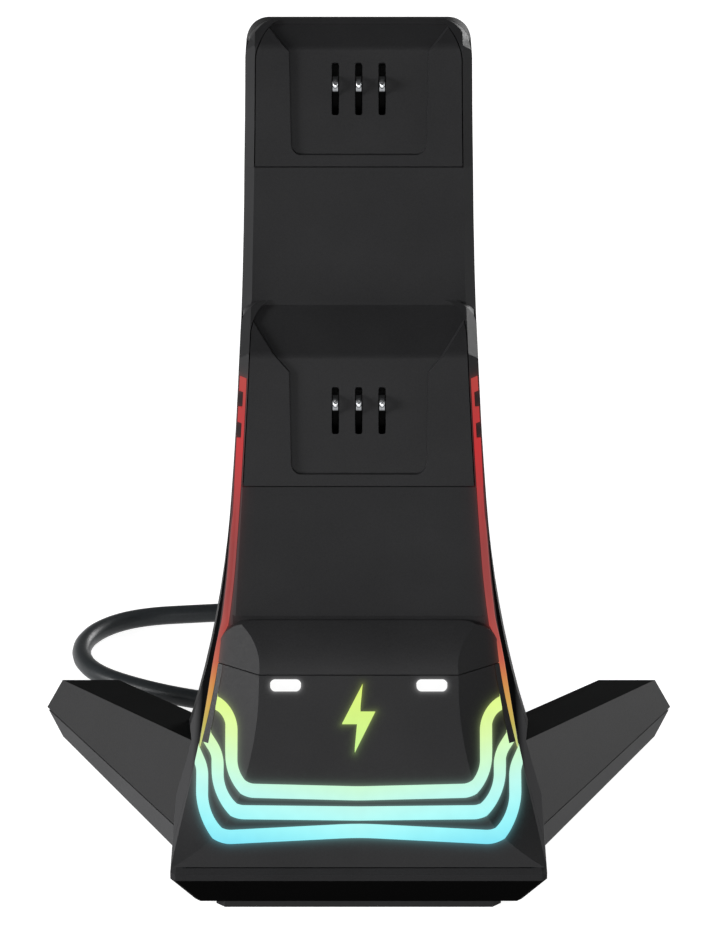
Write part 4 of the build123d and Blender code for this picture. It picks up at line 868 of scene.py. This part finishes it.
# %% Boards, holders and light chips
black_mask = textured_abs("black_solder_mask", "#050606", "#0a0b0b", roughness=0.6, specular=0.1, grain=0.8)
board_mask = textured_abs("green_solder_mask", "#123d27", "#1a5134", roughness=0.35, specular=0.5, grain=0.8)
holder_abs = textured_abs("contact_holder_abs", "#070708", "#0c0c0d", roughness=0.7, specular=0.1)
wire_pvc = textured_abs("wire_pvc", "#7d1d19", "#922520", roughness=0.4, specular=0.4)
chip_silicone = textured_abs("light_chip_silicone", "#d8c455", "#ece0a0", roughness=0.4, specular=0.4)
dress(black_mask, "upper_contact_board", "lower_contact_board")
dress(board_mask, "light_board", "main_board")
dress(wire_pvc, "upper_contact_wires", "lower_contact_wires", "light_board_wires", "power_wires")
dress(holder_abs, "upper_contact_holder", "lower_contact_holder")
dress(chip_silicone, "board_lights")

# %% [markdown]
# ## The lead's jacket, plug and tie
# The jacket is soft PVC with a satin skin. The plug's grip is the same PVC moulded harder, and the tie is a
# woven hook-and-loop strap.

# %% Satin PVC and the woven tie
jacket_pvc = textured_abs("satin_pvc_jacket", "#272a2c", "#313436", roughness=0.4, specular=0.22, grain=0.9)
plug_pvc = textured_abs("moulded_pvc_grip", "#1d1d1e", "#252526", roughness=0.5, specular=0.4)
lead.data.materials.append(jacket_pvc)
dress(plug_pvc, "plug_body", "strain_relief")

tie_weave, tree, shader = new_finish("woven_tie_strap")
place = add(tree, "ShaderNodeTexCoord").outputs["Object"]
THREAD = 0.6
threads = add(
    tree, "ShaderNodeTexWave", {"Vector": place, "Scale": 1 / (THREAD * 20 * MM), "Distortion": 1.0},
    bands_direction="DIAGONAL",
)
tone = add(
    tree, "ShaderNodeValToRGB", {"Fac": threads.outputs["Fac"]}, stops=[(0.2, "#141415"), (0.8, "#2a2a2c")]
)
skin = add(
    tree, "ShaderNodeBump", {"Height": threads.outputs["Fac"], "Strength": 0.6, "Distance": 0.2 * MM}
)
tree.links.new(tone.outputs["Color"], shader.inputs["Base Color"])
tree.links.new(skin.outputs["Normal"], shader.inputs["Normal"])
shader.inputs["Roughness"].default_value = 0.9
dress(tie_weave, "cable_tie")

# %% [markdown]
# ## The studio
# The dock stands on a wide pale table under soft light. The table is white to the camera and in
# reflections, and darker as a bounce light, so that the black plastic keeps its depth. A large soft light
# stands in front and above, and a softbox on the left gives the bright edge along the tower's left side. A
# weak one on the right opens the shadows there, and one behind on the right shows the form of the back and
# the right side.

# %% The table
FLOOR_HALF = 6.0
floor_mesh = bpy.data.meshes.new("studio_table")
floor_mesh.from_pydata(
    [(-FLOOR_HALF, -FLOOR_HALF, 0), (FLOOR_HALF, -FLOOR_HALF, 0),
     (FLOOR_HALF, FLOOR_HALF, 0), (-FLOOR_HALF, FLOOR_HALF, 0)],
    [], [(0, 1, 2, 3)],
)
floor = bpy.data.objects.new("studio_table", floor_mesh)
scene.collection.objects.link(floor)

table_white, tree, shader = new_finish("studio_table_white")
rays = add(tree, "ShaderNodeLightPath")
seen = add(
    tree, "ShaderNodeMath",
    {0: rays.outputs["Is Camera Ray"], 1: rays.outputs["Is Glossy Ray"]}, operation="MAXIMUM",
)
seen_through = add(
    tree, "ShaderNodeMath", {0: seen.outputs[0], 1: rays.outputs["Is Transmission Ray"]}, operation="MAXIMUM"
)
bounce = add(tree, "ShaderNodeBsdfDiffuse", {"Color": linear("#2c2c2c")})
lit = add(tree, "ShaderNodeBsdfDiffuse", {"Color": linear("#bcbcbc")})
glow = add(tree, "ShaderNodeEmission", {"Color": linear("#ffffff"), "Strength": 0.9})
white = add(tree, "ShaderNodeAddShader", {0: lit.outputs[0], 1: glow.outputs[0]})
both = add(
    tree, "ShaderNodeMixShader", {0: seen_through.outputs[0], 1: bounce.outputs[0], 2: white.outputs[0]}
)
tree.links.new(both.outputs[0], tree.nodes["Material Output"].inputs["Surface"])
tree.nodes.remove(shader)
floor_mesh.materials.append(table_white)

# %% The room: white near the horizon, dark above
world = bpy.data.worlds.new("studio_room")
world.use_nodes = True
scene.world = world
tree = world.node_tree
direction = add(tree, "ShaderNodeTexCoord").outputs["Generated"]
rise = add(tree, "ShaderNodeSeparateXYZ", {"Vector": direction}).outputs["Z"]
sky = add(
    tree, "ShaderNodeValToRGB", {"Fac": rise},
    stops=[(0.05, "#ffffff"), (0.32, "#3c3c3c")],
)
rays = add(tree, "ShaderNodeLightPath")
strength = add(
    tree, "ShaderNodeMapRange",
    {"Value": rays.outputs["Is Diffuse Ray"], "To Min": 1.0, "To Max": 0.25},
)
background = tree.nodes["Background"]
tree.links.new(sky.outputs["Color"], background.inputs["Color"])
tree.links.new(strength.outputs["Result"], background.inputs["Strength"])

# %% Soft lights
def soft_light(name, place, target, width, height, power):
    """A rectangular softbox, sizes and places in metres, power in watts."""
    data = bpy.data.lights.new(name, "AREA")
    data.shape = "RECTANGLE"
    data.size = width
    data.size_y = height
    data.energy = power
    light = bpy.data.objects.new(name, data)
    light.location = place
    light.rotation_euler = (Vector(target) - Vector(place)).to_track_quat("-Z", "Y").to_euler()
    scene.collection.objects.link(light)


TOWER_MIDDLE = (0.0, -0.02, 0.12)
soft_light("front_softbox", (-0.15, -2.0, 0.85), TOWER_MIDDLE, 1.4, 0.7, 22)
soft_light("left_softbox", (-1.45, -0.5, 0.5), TOWER_MIDDLE, 0.5, 0.5, 23)
soft_light("right_softbox", (1.45, -0.5, 0.5), TOWER_MIDDLE, 0.5, 0.5, 1.8)
soft_light("rear_softbox", (1.05, 1.35, 0.6), TOWER_MIDDLE, 0.7, 0.7, 20)
print("lights:", [lamp.name for lamp in bpy.data.lights])

# %% [markdown]
# ## Finish

# %% Bring the view layer up to date
bpy.context.view_layer.update()
